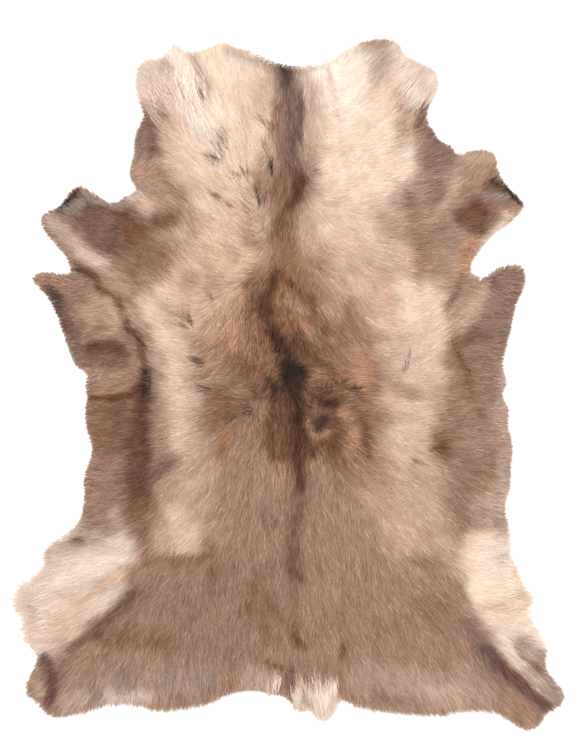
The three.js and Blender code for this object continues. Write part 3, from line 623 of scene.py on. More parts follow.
# Columns: name, tone, hairs, reach, heading, fan, route.
FLECK_ROWS = [
    ("neck left", Tone.DARK_ASH, 56, 10.8, 133, 13, [(-129, 394), (-111, 452)]),
    ("neck left hem", Tone.DARK_ASH, 18, 4.7, 152, 8, [(-149, 409), (-126, 402)]),
    ("neck left low", Tone.DARK_ASH, 30, 9, 118, 14, [(-100, 369), (-72, 376)]),
    ("stripe side top", Tone.DARK_ASH, 24, 6.3, 130, 25, [(-50, 470), (-28, 454)]),
    ("stripe side", Tone.DARK_ASH, 18, 3.6, 102, 12, [(-46, 427), (-41, 405)]),
    ("stripe side dark", Tone.BLACK_BROWN, 40, 3.2, 95, 7, [(-37, 391), (-34, 369)]),
    ("stripe side line", Tone.DARK_ASH, 32, 3.2, 98, 6, [(-63, 351), (-57, 315)]),
    ("stripe side low", Tone.DARK_ASH, 24, 9, 110, 18, [(-50, 322), (-25, 337)]),
    ("shoulder left", Tone.DARK_ASH, 18, 2.7, 143, 5, [(-135, 340), (-117, 328)]),
    ("shoulder left low", Tone.DARK_ASH, 10, 2.5, 143, 5, [(-109, 322), (-97, 315)]),
    ("shoulder left faint", Tone.DARK_ASH, 20, 9, 142, 9, [(-86, 319), (-54, 299)]),
    ("side left long", Tone.DARK_ASH, 11, 2.9, 152, 6, [(-194, 105), (-183, 99)]),
    ("side left", Tone.DARK_ASH, 34, 5.4, 112, 22, [(-187, 114), (-174, 101)]),
    ("side left high", Tone.DARK_ASH, 8, 3.6, 118, 8, [(-147, 157), (-140, 148)]),
    ("side left middle", Tone.DARK_ASH, 44, 4.3, 168, 11, [(-163, 45), (-153, 34)]),
    ("side left low", Tone.DARK_ASH, 38, 4.3, 174, 10, [(-154, -3), (-138, -11)]),
    ("loin left star", Tone.BLACK_BROWN, 30, 3.6, 190, 75, [(-77, -39), (-70, -47)]),
    ("loin left star edge", Tone.BLACK_BROWN, 16, 4.5, 160, 60, [(-61, -23), (-50, -30)]),
    ("loin left faint", Tone.DARK_ASH, 16, 3.6, 182, 9, [(-111, -54), (-90, -59)]),
    ("loin left low", Tone.DARK_ASH, 12, 4.5, 240, 16, [(-75, -131), (-64, -138)]),
    ("loin right star", Tone.BLACK_BROWN, 26, 3.6, 160, 60, [(60, -12), (71, -20)]),
    ("loin right top", Tone.BLACK_BROWN, 20, 2.9, 70, 45, [(83, 2), (89, -11)]),
    ("loin right line", Tone.BLACK_BROWN, 20, 2.9, 350, 22, [(94, -5), (108, -5)]),
    ("loin right end", Tone.BLACK_BROWN, 16, 2.9, 20, 50, [(110, -11), (119, -18)]),
    ("loin right fall", Tone.BLACK_BROWN, 22, 3.6, 315, 28, [(35, -9), (47, -30)]),
    ("loin right low", Tone.DARK_ASH, 10, 3.2, 280, 22, [(96, -56), (101, -66)]),
    ("side right", Tone.DARK_ASH, 22, 4, 82, 14, [(202, 16), (211, 60)]),
    ("side right low", Tone.DARK_ASH, 9, 2.5, 336, 5, [(209, -128), (220, -135)]),
    ("neck right", Tone.DARK_ASH, 12, 3.6, 25, 8, [(26, 384), (44, 376)]),
    ("crown left", Tone.BLACK_BROWN, 44, 7.2, 138, 18, [(-9, 24), (15, 16)]),
    ("crown", Tone.BLACK_BROWN, 80, 10.8, 250, 60, [(-14, -2), (26, 27)]),
    ("crown foot", Tone.BLACK_BROWN, 40, 6.3, 245, 35, [(-43, 9), (-28, -20)]),
    ("crown top", Tone.BLACK_BROWN, 60, 10.8, 235, 20, [(-28, 78), (4, 42)]),
    ("spine", Tone.BLACK_BROWN, 90, 7.2, 268, 10, [(11, -9), (13, -153)]),
    ("back brown left", Tone.DARK_UMBER, 80, 19.8, 222, 16, [(-54, 160), (-57, 70)]),
    ("back brown right", Tone.DARK_UMBER, 80, 19.8, 312, 20, [(36, 99), (69, 24)]),
    ("back brown top", Tone.DARK_UMBER, 50, 16.2, 268, 22, [(-18, 153), (15, 99)]),
    ("crown brown left", Tone.DARK_UMBER, 60, 18, 190, 20, [(-75, 45), (-54, -20)]),
    ("loin brown left", Tone.DARK_UMBER, 70, 14.4, 262, 14, [(-43, -34), (-28, -120)]),
    ("loin brown right", Tone.DARK_UMBER, 70, 16.2, 285, 20, [(47, -99), (116, -110)]),
    ("spine brown", Tone.DARK_UMBER, 80, 16.2, 266, 12, [(-3, -12), (8, -135)]),
    ("loin", Tone.DARK_ASH, 14, 3.2, 264, 6, [(-54, -221), (-46, -246)]),
    ("loin spot", Tone.DARK_ASH, 14, 6.3, 255, 18, [(-39, -228), (-21, -243)]),
    ("stripe", Tone.DARK_ASH, 80, 10.8, 268, 9, [(-16, 578), (0, 495)]),
    ("stripe low", Tone.DARK_ASH, 80, 14.4, 268, 13, [(0, 477), (6, 333)]),
    ("neck left streak", Tone.DARK_UMBER, 26, 5.4, 113, 5, [(-171, 538), (-154, 502)]),
    ("neck corner", Tone.DARK_UMBER, 16, 7.2, 150, 5, [(-223, 528), (-205, 517)]),
    ("neck corner low", Tone.DARK_UMBER, 40, 7.2, 142, 7, [(-244, 492), (-216, 470)]),
    ("neck right edge", Tone.DARK_UMBER, 20, 9, 50, 12, [(198, 517), (202, 441)]),
    # The crease, corner, valley and step rows are painted shade: dark hairs laid along the folds, over the
    # dark roots that show where the hair parts.
    ("shoulder crease top", Tone.DARK_UMBER, 20, 2.9, 330, 8, [(-378, 211), (-354, 196)]),
    ("shoulder crease", Tone.DARK_UMBER, 34, 2.9, 315, 8, [(-349, 182), (-313, 148)]),
    ("shoulder crease low", Tone.DARK_UMBER, 34, 2.9, 292, 8, [(-311, 144), (-297, 106)]),
    ("elbow crease top", Tone.BLACK_BROWN, 30, 2.7, 312, 8, [(-295, 101), (-275, 78)]),
    ("elbow crease side", Tone.DARK_UMBER, 34, 3.2, 285, 8, [(-273, 74), (-261, 31)]),
    ("elbow corner", Tone.BLACK_BROWN, 70, 5.4, 255, 14, [(-257, 24), (-264, -9)]),
    ("elbow crease foot", Tone.DARK_UMBER, 90, 2.9, 184, 6, [(-270, -16), (-352, -25)]),
    ("elbow valley", Tone.DARK_UMBER, 80, 6.3, 175, 10, [(-363, 65), (-302, 70)]),
    ("right foreleg rim", Tone.BLACK_BROWN, 70, 2.2, 312, 5, [(369, 375), (407, 333)]),
    ("left foreleg rim", Tone.BLACK_BROWN, 44, 2.5, 43, 8, [(-414, 324), (-392, 348)]),
    # Painted shade again: dark hairs along the creases of the right elbow, the right flank and the hind
    # legs, and along the left thigh's step.
    ("right elbow crease", Tone.DARK_UMBER, 60, 3.2, 238, 8, [(314, 195), (285, 146)]),
    ("right flank crease", Tone.DARK_UMBER, 50, 4.5, 290, 8, [(288, 92), (321, 6)]),
    ("right hind crease", Tone.DARK_UMBER, 120, 5.4, 316, 7, [(368, -488), (454, -570)]),
    ("left hind crease", Tone.DARK_UMBER, 36, 3.6, 305, 12, [(-450, -497), (-430, -527)]),
    ("left hind crease low", Tone.DARK_UMBER, 44, 3.6, 258, 12, [(-428, -531), (-441, -574)]),
    ("left thigh step shadow", Tone.DARK_UMBER, 70, 5.4, 218, 8, [(-295, -387), (-381, -459)]),
]
FLECKS = [Fleck(*row) for row in FLECK_ROWS]

# Columns: name, locks, tone, roots, tips.
TUFT_ROWS = [
    ("tail root", 150, Tone.TAUPE, [(8, -473), (83, -480)], [(22, -538), (76, -538)]),
    ("tail left", 60, Tone.TAN, [(13, -509), (26, -502)], [(22, -563), (36, -590)]),
    ("tail middle", 130, Tone.PALE_SAND, [(22, -506), (49, -495)], [(33, -578), (54, -610)]),
    ("tail right", 150, Tone.CREAM, [(40, -506), (67, -513)], [(49, -610), (72, -596)]),
    ("tail right edge", 70, Tone.PALE_SAND, [(63, -509), (76, -520)], [(71, -597), (83, -567)]),
    ("tail brown strands", 44, Tone.TAUPE, [(18, -509), (69, -509)], [(31, -560), (76, -567)]),
    ("tail dark strands", 26, Tone.DARK_TAUPE, [(15, -502), (26, -513)], [(31, -549), (44, -560)]),
    ("tail wisp left", 26, Tone.PALE_SAND, [(-30, -513), (-23, -513)], [(-34, -567), (-25, -561)]),
    ("tail wisp tan", 22, Tone.TAN, [(-46, -524), (-36, -527)], [(-43, -570), (-34, -567)]),
    ("tail wisp right", 30, Tone.PALE_SAND, [(-1, -538), (8, -534)], [(13, -594), (18, -581)]),
    ("neck left tuft", 190, Tone.PALE_CREAM, [(-208, 492), (-154, 492)], [(-217, 614), (-187, 600)]),
    ("neck left tuft low", 170, Tone.PALE_SAND, [(-230, 484), (-187, 492)], [(-262, 582), (-226, 589)]),
    ("neck left tuft long", 60, Tone.PALE_CREAM, [(-183, 441), (-140, 430)], [(-208, 542), (-172, 520)]),
    ("neck left shade", 120, Tone.TAN, [(-226, 492), (-165, 499)], [(-270, 574), (-172, 589)]),
    ("neck left gap", 60, Tone.PALE_TAUPE, [(-223, 528), (-216, 531)], [(-237, 600), (-225, 603)]),
    ("neck left corner", 150, Tone.PALE_SAND, [(-244, 484), (-219, 484)], [(-277, 538), (-270, 571)]),
    ("neck left corner end", 60, Tone.LIGHT_TAUPE, [(-237, 481), (-212, 484)], [(-273, 528), (-255, 578)]),
    ("neck left low corner", 130, Tone.PALE_TAUPE, [(-219, 459), (-226, 484)], [(-270, 502), (-277, 528)]),
    ("neck right corner", 130, Tone.PALE_SAND, [(180, 506), (213, 492)], [(238, 574), (260, 538)]),
    ("neck right spur", 24, Tone.DARK_TAUPE, [(216, 459), (227, 452)], [(238, 495), (243, 490)]),
    ("left thigh fringe", 110, Tone.PALE_SAND, [(-424, -333), (-432, -444)], [(-478, -358), (-475, -459)]),
    ("left thigh tip", 50, Tone.SAND, [(-435, -383), (-435, -408)], [(-489, -372), (-486, -401)]),
    ("right thigh tip", 90, Tone.WARM_CREAM, [(368, -398), (378, -405)], [(432, -385), (438, -392)]),
    ("right thigh wisps", 60, Tone.CREAM, [(371, -308), (389, -372)], [(411, -320), (434, -369)]),
    ("right thigh low wisps", 60, Tone.PALE_SAND, [(404, -408), (422, -473)], [(449, -416), (465, -477)]),
    ("right thigh fringe", 90, Tone.CREAM, [(368, -315), (378, -383)], [(411, -326), (418, -376)]),
]
TUFTS = [Tuft(*row) for row in TUFT_ROWS]


def linear(tone: Tone) -> np.ndarray:
    """Turn a tone's sRGB hex value into linear red, green and blue."""
    shares = np.array([int(tone.value[at : at + 2], 16) for at in (1, 3, 5)]) / 255
    return np.where(shares <= 0.04045, shares / 12.92, ((shares + 0.055) / 1.055) ** 2.4)


def strand_colour(seen: np.ndarray) -> np.ndarray:
    """Turn the colour that a coat shows under the studio's light into the colour of its strands.

    The ends of strands catch the light, so strands are darker than the coat that they make. Light that
    passes between pale strands takes up their colour, so pale strands are greyer too.
    """
    gain, greying = 1.075, 0.2
    grey = (seen @ LUMINANCE)[..., None]
    return (seen + (grey - seen) * greying * paleness(seen)[..., None]) / gain


def paleness(colours: np.ndarray) -> np.ndarray:
    """Return how pale linear colours are, from 0 for the darkest hair to 1 for the palest."""
    darkest, palest = 0.08, 0.7
    return np.clip((colours @ LUMINANCE - darkest) / (palest - darkest), 0, 1)


def ease(share: np.ndarray) -> np.ndarray:
    """Turn a share from 0 to 1 into one that starts and ends gently."""
    held = np.clip(share, 0, 1)
    return held * held * (3 - 2 * held)


def heading_vectors(degrees: np.ndarray) -> np.ndarray:
    """Return the unit vectors of headings in degrees, one row for each."""
    turn = np.radians(degrees)
    return np.stack([np.cos(turn), np.sin(turn)], axis=-1)


def turned(vectors: np.ndarray, degrees: np.ndarray) -> np.ndarray:
    """Return vectors turned anticlockwise, each by its own number of degrees."""
    cosine, sine = np.cos(np.radians(degrees)), np.sin(np.radians(degrees))
    x, y = vectors.T
    return np.stack([x * cosine - y * sine, x * sine + y * cosine], axis=1)


def unit(vectors: np.ndarray) -> np.ndarray:
    """Return the rows of an array at length 1."""
    return vectors / np.maximum(np.linalg.norm(vectors, axis=-1, keepdims=True), 1e-9)


def doubled_areas(places: np.ndarray, triangles: np.ndarray) -> np.ndarray:
    """Return twice the area of each flat triangle, below 0 for those that turn clockwise."""
    sides = places[triangles]
    first, second = sides[:, 1] - sides[:, 0], sides[:, 2] - sides[:, 0]
    return first[:, 0] * second[:, 1] - first[:, 1] * second[:, 0]


def nearest_on_route(places: np.ndarray, route: np.ndarray) -> tuple[np.ndarray, np.ndarray]:
    """Find how far places are from a route of straight stretches.

    Args:
        places: The places, one row for each.
        route: The route's points in order, one row for each.

    Returns:
        The distance of each place, and the nearest point on the route to it.
    """
    nearest = np.full(len(places), np.inf)
    feet = np.zeros_like(places)
    ends = route[1:] if len(route) > 1 else route
    for start, end in zip(route, ends):
        run = end - start
        along = np.clip((places - start) @ run / max(run @ run, 1e-12), 0, 1)
        foot = start + along[:, None] * run
        distance = np.linalg.norm(places - foot, axis=1)
        closer = distance < nearest
        nearest[closer] = distance[closer]
        feet[closer] = foot[closer]
    return nearest, feet


def distance_to(places: np.ndarray, route: Route) -> np.ndarray:
    """Return how far places in metres are from a route in millimetres, in metres."""
    return nearest_on_route(places, np.array(route, float) * MM)[0]


def zone_cover(zone: LengthZone | LivelyZone, places: np.ndarray) -> np.ndarray:
    """Return how far places lie inside a zone, from 0 outside to 1 within its reach."""
    away = distance_to(places, zone.route)
    return ease(((zone.reach + zone.soft) * MM - away) / (2 * zone.soft * MM))


def soft_noise(places: np.ndarray, size: float, seed: int) -> np.ndarray:
    """Return smooth noise from -1 to 1 whose patches are about size across."""
    lattice = 257
    corners = np.random.default_rng(seed).uniform(-1, 1, (lattice, lattice))
    at = places / size + lattice / 2
    cell = np.floor(at).astype(int)
    across, up = ease(at - cell).T
    column, row = (cell % (lattice - 1)).T
    low = corners[row, column] * (1 - across) + corners[row, column + 1] * across
    high = corners[row + 1, column] * (1 - across) + corners[row + 1, column + 1] * across
    return low * (1 - up) + high * up


@dataclass(frozen=True)
class Ripple:
    """A layer of soft noise: how strong it is, how wide its patches are and what it is drawn from."""

    strength: float
    size: float
    seed: int

    def at(self, places: np.ndarray) -> np.ndarray:
        """Return the noise at places, between minus its strength and its strength."""
        return self.strength * soft_noise(places, self.size, self.seed)


@dataclass(frozen=True)
class Streak:
    """Noise from about -1 to 1 that is drawn out along the lie of the hair.

    stretch is how long the streaks are, as a multiple of their width.
    """

    width: float
    stretch: float
    seed: int

    def at(self, places: np.ndarray, lie: np.ndarray) -> np.ndarray:
        """Draw the noise out over some samples along the lie.

        Args:
            places: Where it is wanted, one row for each.
            lie: The hair's heading at each place.

        Returns:
            The noise at each place.
        """
        samples = 7
        shifts = np.linspace(-0.5, 0.5, samples) * (self.stretch * self.width)
        total = sum(soft_noise(places + lie * shift, self.width, self.seed) for shift in shifts)
        return total / math.sqrt(samples)


def scattered(low: np.ndarray, high: np.ndarray, spacing: float, seed: int) -> np.ndarray:
    """Spread places evenly but unevenly placed, as hair roots are.

    Args:
        low: The lowest corner of the ground to fill.
        high: Its highest corner.
        spacing: How far apart the places are.
        seed: What the random shifts are drawn from.

    Returns:
        The places, one row for each, row after row.
    """
    columns = np.arange(low[0], high[0], spacing)
    rows = np.arange(low[1], high[1], spacing)
    places = np.stack(np.meshgrid(columns, rows), axis=-1).reshape(-1, 2)
    return places + np.random.default_rng(seed).uniform(-0.5, 0.5, places.shape) * spacing


def mesh_piece(name: str, corners: np.ndarray, triangles: np.ndarray) -> bpy.types.Object:
    """Make a smooth-shaded mesh object from arrays.

    Args:
        name: The object's name.
        corners: The corners in metres, one row for each.
        triangles: Three corner numbers in each row, anticlockwise from outside.

    Returns:
        The object, linked to the scene.
    """
    mesh = bpy.data.meshes.new(name)
    mesh.vertices.add(len(corners))
    mesh.vertices.foreach_set("co", np.ascontiguousarray(corners, np.float32).ravel())
    mesh.loops.add(triangles.size)
    mesh.loops.foreach_set("vertex_index", np.ascontiguousarray(triangles, np.int32).ravel())
    mesh.polygons.add(len(triangles))
    mesh.polygons.foreach_set("loop_start", np.arange(0, triangles.size, 3, dtype=np.int32))
    mesh.update(calc_edges=True)
    mesh.validate()
    mesh.shade_smooth()
    piece = bpy.data.objects.new(name, mesh)
    bpy.context.collection.objects.link(piece)
    return piece


def paint(piece: bpy.types.Object, colours: np.ndarray) -> None:
    """Give each corner of a piece its own linear colour, which the hair's material reads."""
    layer = piece.data.color_attributes.new(TONE_LAYER, "FLOAT_COLOR", "POINT")
    opaque = np.concatenate([colours, np.ones((len(colours), 1))], axis=1)
    layer.data.foreach_set("color", opaque.astype(np.float32).ravel())


def add_node(
    tree: bpy.types.NodeTree, kind: str, settings: dict[str, object] | None = None, **inputs: object
) -> bpy.types.Node:
    """Add a node with its settings and links.

    Args:
        tree: The node tree of a material or the world.
        kind: The node's type.
        settings: Values of the node itself.
        **inputs: A value, or the output of another node, for each input. A space in the input's name
            is an underscore here.

    Returns:
        The new node.
    """
    node = tree.nodes.new(kind)
    for name, value in (settings or {}).items():
        setattr(node, name, value)
    for name, value in inputs.items():
        socket = node.inputs[name.replace("_", " ")]
        if isinstance(value, bpy.types.NodeSocket):
            tree.links.new(value, socket)
        else:
            socket.default_value = value
    return node


def new_material(name: str) -> tuple[bpy.types.Material, bpy.types.NodeTree]:
    """Make a material with an empty node tree."""
    material = bpy.data.materials.new(name)
    material.use_nodes = True
    material.node_tree.nodes.clear()
    return material, material.node_tree


class HideForm:
    """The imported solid, read as grids of height and of depth inside its edge."""

    STEP = 4 * MM
    MARGIN = 72 * MM
    EASING = 8 * MM
    SKIN = 2 * MM
    FALL = 34 * MM
    LEAST_COVER = 2.2 * MM
    RIM_STEP_IN = 5 * MM

    def __init__(self, node: bpy.types.Object) -> None:
        """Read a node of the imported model.

        Args:
            node: The CAD object of the hide.
        """
        corners, triangles = self._merged(node)
        self.edge = self._edge_loop(corners, triangles)
        self.low = self.edge.min(axis=0) - self.MARGIN
        high = self.edge.max(axis=0) + self.MARGIN
        columns = np.arange(self.low[0], high[0], self.STEP)
        rows = np.arange(self.low[1], high[1], self.STEP)
        self.shape = (len(rows), len(columns))
        self.places = np.stack(np.meshgrid(columns, rows), axis=-1).reshape(-1, 2)
        self._measure_depth()
        self._measure_heights(corners, triangles)

    @staticmethod
    def _merged(node: bpy.types.Object) -> tuple[np.ndarray, np.ndarray]:
        """Return the node's corners with the loose triangles' shared ones merged, and its triangles."""
        mesh = node.data
        corners = np.empty(len(mesh.vertices) * 3, np.float32)
        mesh.vertices.foreach_get("co", corners)
        numbers = np.empty(len(mesh.loops), np.int32)
        mesh.loops.foreach_get("vertex_index", numbers)
        rounded = np.round(corners.reshape(-1, 3).astype(float), decimals=6)
        merged, which = np.unique(rounded, axis=0, return_inverse=True)
        return merged, which.ravel()[numbers].reshape(-1, 3)

    @staticmethod
    def _edge_loop(corners: np.ndarray, triangles: np.ndarray) -> np.ndarray:
        """Follow the line where the walls meet the underside, all round the hide."""
        sides = corners[triangles]
        normals = unit(np.cross(sides[:, 1] - sides[:, 0], sides[:, 2] - sides[:, 0]))
        pairs = [(0, 1), (1, 2), (2, 0)]
        steep, facing_down = 0.35, -0.6
        under = {(t[a], t[b]) for t in triangles[normals[:, 2] < facing_down].tolist() for a, b in pairs}
        wall = triangles[np.abs(normals[:, 2]) < steep].tolist()
        after = {t[a]: t[b] for t in wall for a, b in pairs if (t[b], t[a]) in under}
        loops = []
        while after:
            start, end = after.popitem()
            loop = [start]
            while end in after:
                loop.append(end)
                end = after.pop(end)
            loops.append(loop)
        return corners[max(loops, key=len)][:, :2]

    def _measure_depth(self) -> None:
        """Work out how deep each grid place is inside the edge, and the way out from there."""
        closed = np.vstack([self.edge, self.edge[:1]])
        distance, feet = nearest_on_route(self.places, closed)
        inside = np.zeros(len(self.places), bool)
        for (x0, y0), (x1, y1) in zip(closed, closed[1:]):
            if y0 != y1:
                crossed = (self.places[:, 1] < y0) != (self.places[:, 1] < y1)
                at = x0 + (self.places[:, 1] - y0) * (x1 - x0) / (y1 - y0)
                inside ^= crossed & (self.places[:, 0] < at)
        self.feet = feet
        self.inside = inside.reshape(self.shape)
        self.depth = np.where(inside, distance, -distance).reshape(self.shape)
        slope_y, slope_x = np.gradient(self._blurred(self.depth, self.EASING), self.STEP)
        self.outward = -unit(np.stack([slope_x, slope_y], axis=-1))

    def _measure_heights(self, corners: np.ndarray, triangles: np.ndarray) -> None:
        """Read the heights of the coat and of the skin's underside, and carry them past the edge."""
        tree = BVHTree.FromPolygons(corners.tolist(), triangles.tolist(), all_triangles=True)
        far = 1.0
        coat = np.zeros(len(self.places))
        under = np.zeros(len(self.places))
        for at in np.flatnonzero(self.inside.ravel()):
            x, y = self.places[at]
            top = tree.ray_cast(Vector((x, y, far)), -UP)[0]
            bottom = tree.ray_cast(Vector((x, y, -far)), UP)[0]
            if top is not None and bottom is not None:
                coat[at] = top.z
                under[at] = bottom.z
        known = (coat > 0).astype(float).reshape(self.shape)
        weight = np.maximum(self._blurred(known, self.EASING), 1e-6)
        self.coat = self._blurred(coat.reshape(self.shape), self.EASING) / weight
        self.under = self._blurred(under.reshape(self.shape), self.EASING) / weight
        for crease in CREASES:
            away = distance_to(self.places, crease.route) / (crease.reach * MM)
            self.coat -= (crease.depth * MM * np.exp(-(away**2))).reshape(self.shape)
        self.coat = np.maximum(self.coat, self.under + self.SKIN + self.LEAST_COVER)
        rim = self.feet - self.outward.reshape(-1, 2) * self.RIM_STEP_IN
        outside = ~self.inside
        coat_rim = self.sample(self.coat, rim).reshape(self.shape)
        under_rim = self.sample(self.under, rim).reshape(self.shape)
        kept = 1 - ease(-self.depth / self.FALL)
        self.coat = np.where(outside, self.LEAST_COVER + coat_rim * kept, self.coat)
        self.under = np.where(outside, under_rim * kept, self.under)

    def _blurred(self, grid: np.ndarray, reach: float) -> np.ndarray:
        """Return a grid blurred over a reach in metres."""
        cells, spread = reach / self.STEP, 3
        offsets = np.arange(-int(spread * cells), int(spread * cells) + 1)
        weights = np.exp(-0.5 * (offsets / cells) ** 2)
        weights /= weights.sum()
        result = grid
        for axis in (0, 1):
            padding = [(0, 0), (0, 0)]
            padding[axis] = (len(offsets) // 2, len(offsets) // 2)
            padded = np.pad(result, padding, mode="edge")
            size = result.shape[axis]
            parts = [w * np.take(padded, np.arange(k, k + size), axis) for k, w in enumerate(weights)]
            result = np.sum(parts, axis=0)
        return result

    def sample(self, grid: np.ndarray, places: np.ndarray) -> np.ndarray:
        """Read a grid at places between its points.

        Args:
            grid: One of this form's grids, of numbers or of vectors.
            places: Where to read it, in metres, one row for each.

        Returns:
            The grid's value at each place.
        """
        last_cell = 1.001
        most = np.array([self.shape[1], self.shape[0]]) - last_cell
        at = np.clip((places - self.low) / self.STEP, 0, most)
        column, row = at.astype(int).T
        across, up = (at - at.astype(int)).T
        if grid.ndim == 3:
            across, up = across[:, None], up[:, None]
        low = grid[row, column] * (1 - across) + grid[row, column + 1] * across
        high = grid[row + 1, column] * (1 - across) + grid[row + 1, column + 1] * across
        return low * (1 - up) + high * up

    def height(self, places: np.ndarray, share: np.ndarray | float) -> np.ndarray:
        """Return the height at a share of the coat's depth, from 0 on the skin to 1 on top."""
        skin = self.sample(self.under, places) + self.SKIN
        return skin + (self.sample(self.coat, places) - skin) * share

    def depth_at(self, places: np.ndarray) -> np.ndarray:
        """Return how deep places are inside the edge, below 0 outside it."""
        return self.sample(self.depth, places)


class Coat:
    """The colour, lie and length of the hair over the whole hide."""

    LIE_REACH = 24 * MM
    LIE_FALL = 3
    WHORL_PULL = 1.4
    WHORL_RISE = 3
    BACK_LENGTH = 27 * MM
    RIM_TURN = 16 * MM
    OVERHANG = 5 * MM
    RAGGED_SHARE = 0.6
    RAGGED = (Ripple(0.6, 24 * MM, 11), Ripple(0.5, 10 * MM, 12))
    MOTTLE = (Ripple(0.05, 32 * MM, 13), Ripple(0.05, 13 * MM, 14))
    BROAD_DRIFT = (Ripple(4.5 * MM, 36 * MM, 15), Ripple(4.5 * MM, 36 * MM, 16))
    SMALL_DRIFT = (Ripple(2.2 * MM, 12 * MM, 17), Ripple(2.2 * MM, 12 * MM, 18))

    def __init__(self, form: HideForm) -> None:
        """Keep the form that the coat lies on, and prepare the places of the lie."""
        self.form = form
        rows = np.array([place for lie in LIES for place in lie.places], float)
        self.lie_places = rows[:, :2] * MM
        self.lie_vectors = heading_vectors(rows[:, 2])

    def colour(self, places: np.ndarray) -> np.ndarray:
        """Work out the coat's colour.

        Args:
            places: Where the hair shows, in metres, one row for each.

        Returns:
            Linear red, green and blue for each place.
        """
        ragged = sum(ripple.at(places) for ripple in self.RAGGED)
        broad = np.stack([ripple.at(places) for ripple in self.BROAD_DRIFT], axis=1)
        small = np.stack([ripple.at(places) for ripple in self.SMALL_DRIFT], axis=1)
        places = places + broad + small
        colours = np.tile(linear(GROUND_TONE), (len(places), 1))
        for marking in MARKINGS:
            reach, soft = marking.reach * MM, marking.soft * MM
            route, limit = np.array(marking.route, float) * MM, reach + 2 * soft
            inside = (places > route.min(axis=0) - limit) & (places < route.max(axis=0) + limit)
            near = np.flatnonzero(inside.all(axis=1))
            away = nearest_on_route(places[near], route)[0] + ragged[near] * soft * self.RAGGED_SHARE
            cover = marking.share * ease((reach + soft - away) / (2 * soft))
            colours[near] += (linear(marking.tone) - colours[near]) * cover[:, None]
        mottle = sum(ripple.at(places) for ripple in self.MOTTLE)
        return strand_colour(colours * (1 + mottle[:, None]))

    def lie(self, places: np.ndarray, rim_pull: float) -> np.ndarray:
        """Work out which way the hair points.

        Args:
            places: The hair's roots, in metres, one row for each.
            rim_pull: How strongly the hair at the very edge is turned outwards.

        Returns:
            A unit vector for each place, turned outwards near the edge of the hide.
        """
        found = np.zeros_like(places)
        for at, vector in zip(self.lie_places, self.lie_vectors):
            away = ((places - at) ** 2).sum(axis=1) / self.LIE_REACH**2
            found += vector / (1 + away[:, None]) ** self.LIE_FALL
        found = unit(found)
        for whorl in WHORLS:
            out = places - np.array(whorl.middle) * MM
            away = np.linalg.norm(out, axis=1) / (whorl.reach * MM)
            pull = self.WHORL_PULL * np.exp(-(away**2)) * np.minimum(1, away * self.WHORL_RISE)
            found = unit(found + unit(out) * pull[:, None])
        nearness = 1 - ease(self.form.depth_at(places) / self.RIM_TURN)
        outward = self.form.sample(self.form.outward, places)
        return unit(found + outward * (rim_pull * nearness)[:, None])

    def overhang(self, places: np.ndarray) -> np.ndarray:
        """Return how far the hair may reach past the hide's edge near places, in metres."""
        reaches = np.full(len(places), self.OVERHANG)
        for zone in LENGTH_ZONES:
            reaches += (zone.overhang * MM - reaches) * zone_cover(zone, places)
        return reaches

    def length(self, places: np.ndarray) -> np.ndarray:
        """Return the length of the hair at places, in metres."""
        lengths = np.full(len(places), self.BACK_LENGTH)
        for zone in LENGTH_ZONES:
            lengths += (zone.length * MM - lengths) * zone_cover(zone, places)
        return lengths

    def liveliness(self, places: np.ndarray) -> np.ndarray:
        """Return how much the tone changes from lock to lock at places, where 1 is usual."""
        gains = np.ones(len(places))
        for zone in LIVELY_ZONES:
            gains += zone.gain * zone_cover(zone, places)
        return gains


@dataclass(frozen=True)
class SuedeFinish:
    """Tanned flesh side of a skin, buffed to a short nap: matt, pale and a little blotched."""

    tone: Tone = Tone.PALE_SAND
    shade: Tone = Tone.SAND
    blotch: float = 110 * MM
    blotch_range: tuple[float, float] = (0.25, 0.75)
    nap: float = 1.2 * MM
    nap_depth: float = 0.4 * MM
    nap_strength: float = 0.5
    wear: float = 0.3
    roughness: float = 0.92

    def material(self) -> bpy.types.Material:
        """Make the suede's material, in patterns worked out from the blotches and the nap."""
        material, tree = new_material("suede_flesh_side")
        place = add_node(tree, "ShaderNodeTexCoord").outputs["Object"]
        blotches = add_node(tree, "ShaderNodeTexNoise", Vector=place, Scale=1 / self.blotch, Detail=4.0)
        nap = add_node(tree, "ShaderNodeTexNoise", Vector=place, Scale=1 / self.nap, Detail=3.0)
        ramp = add_node(tree, "ShaderNodeValToRGB", Fac=blotches.outputs["Fac"])
        stops = zip(ramp.color_ramp.elements, self.blotch_range, (self.shade, self.tone))
        for stop, position, tone in stops:
            stop.position = position
            stop.color = (*linear(tone), 1)
        worn = add_node(
            tree, "ShaderNodeMix", {"data_type": "RGBA", "blend_type": "MULTIPLY"}, Factor=self.wear
        )
        tree.links.new(ramp.outputs["Color"], worn.inputs["A"])
        tree.links.new(nap.outputs["Fac"], worn.inputs["B"])
        bump = add_node(
            tree,
            "ShaderNodeBump",
            Strength=self.nap_strength,
            Distance=self.nap_depth,
            Height=nap.outputs["Fac"],
        )
        shader = add_node(
            tree,
            "ShaderNodeBsdfPrincipled",
            Base_Color=worn.outputs["Result"],
            Roughness=self.roughness,
            Normal=bump.outputs["Normal"],
        )
        add_node(tree, "ShaderNodeOutputMaterial", Surface=shader.outputs["BSDF"])
        return material


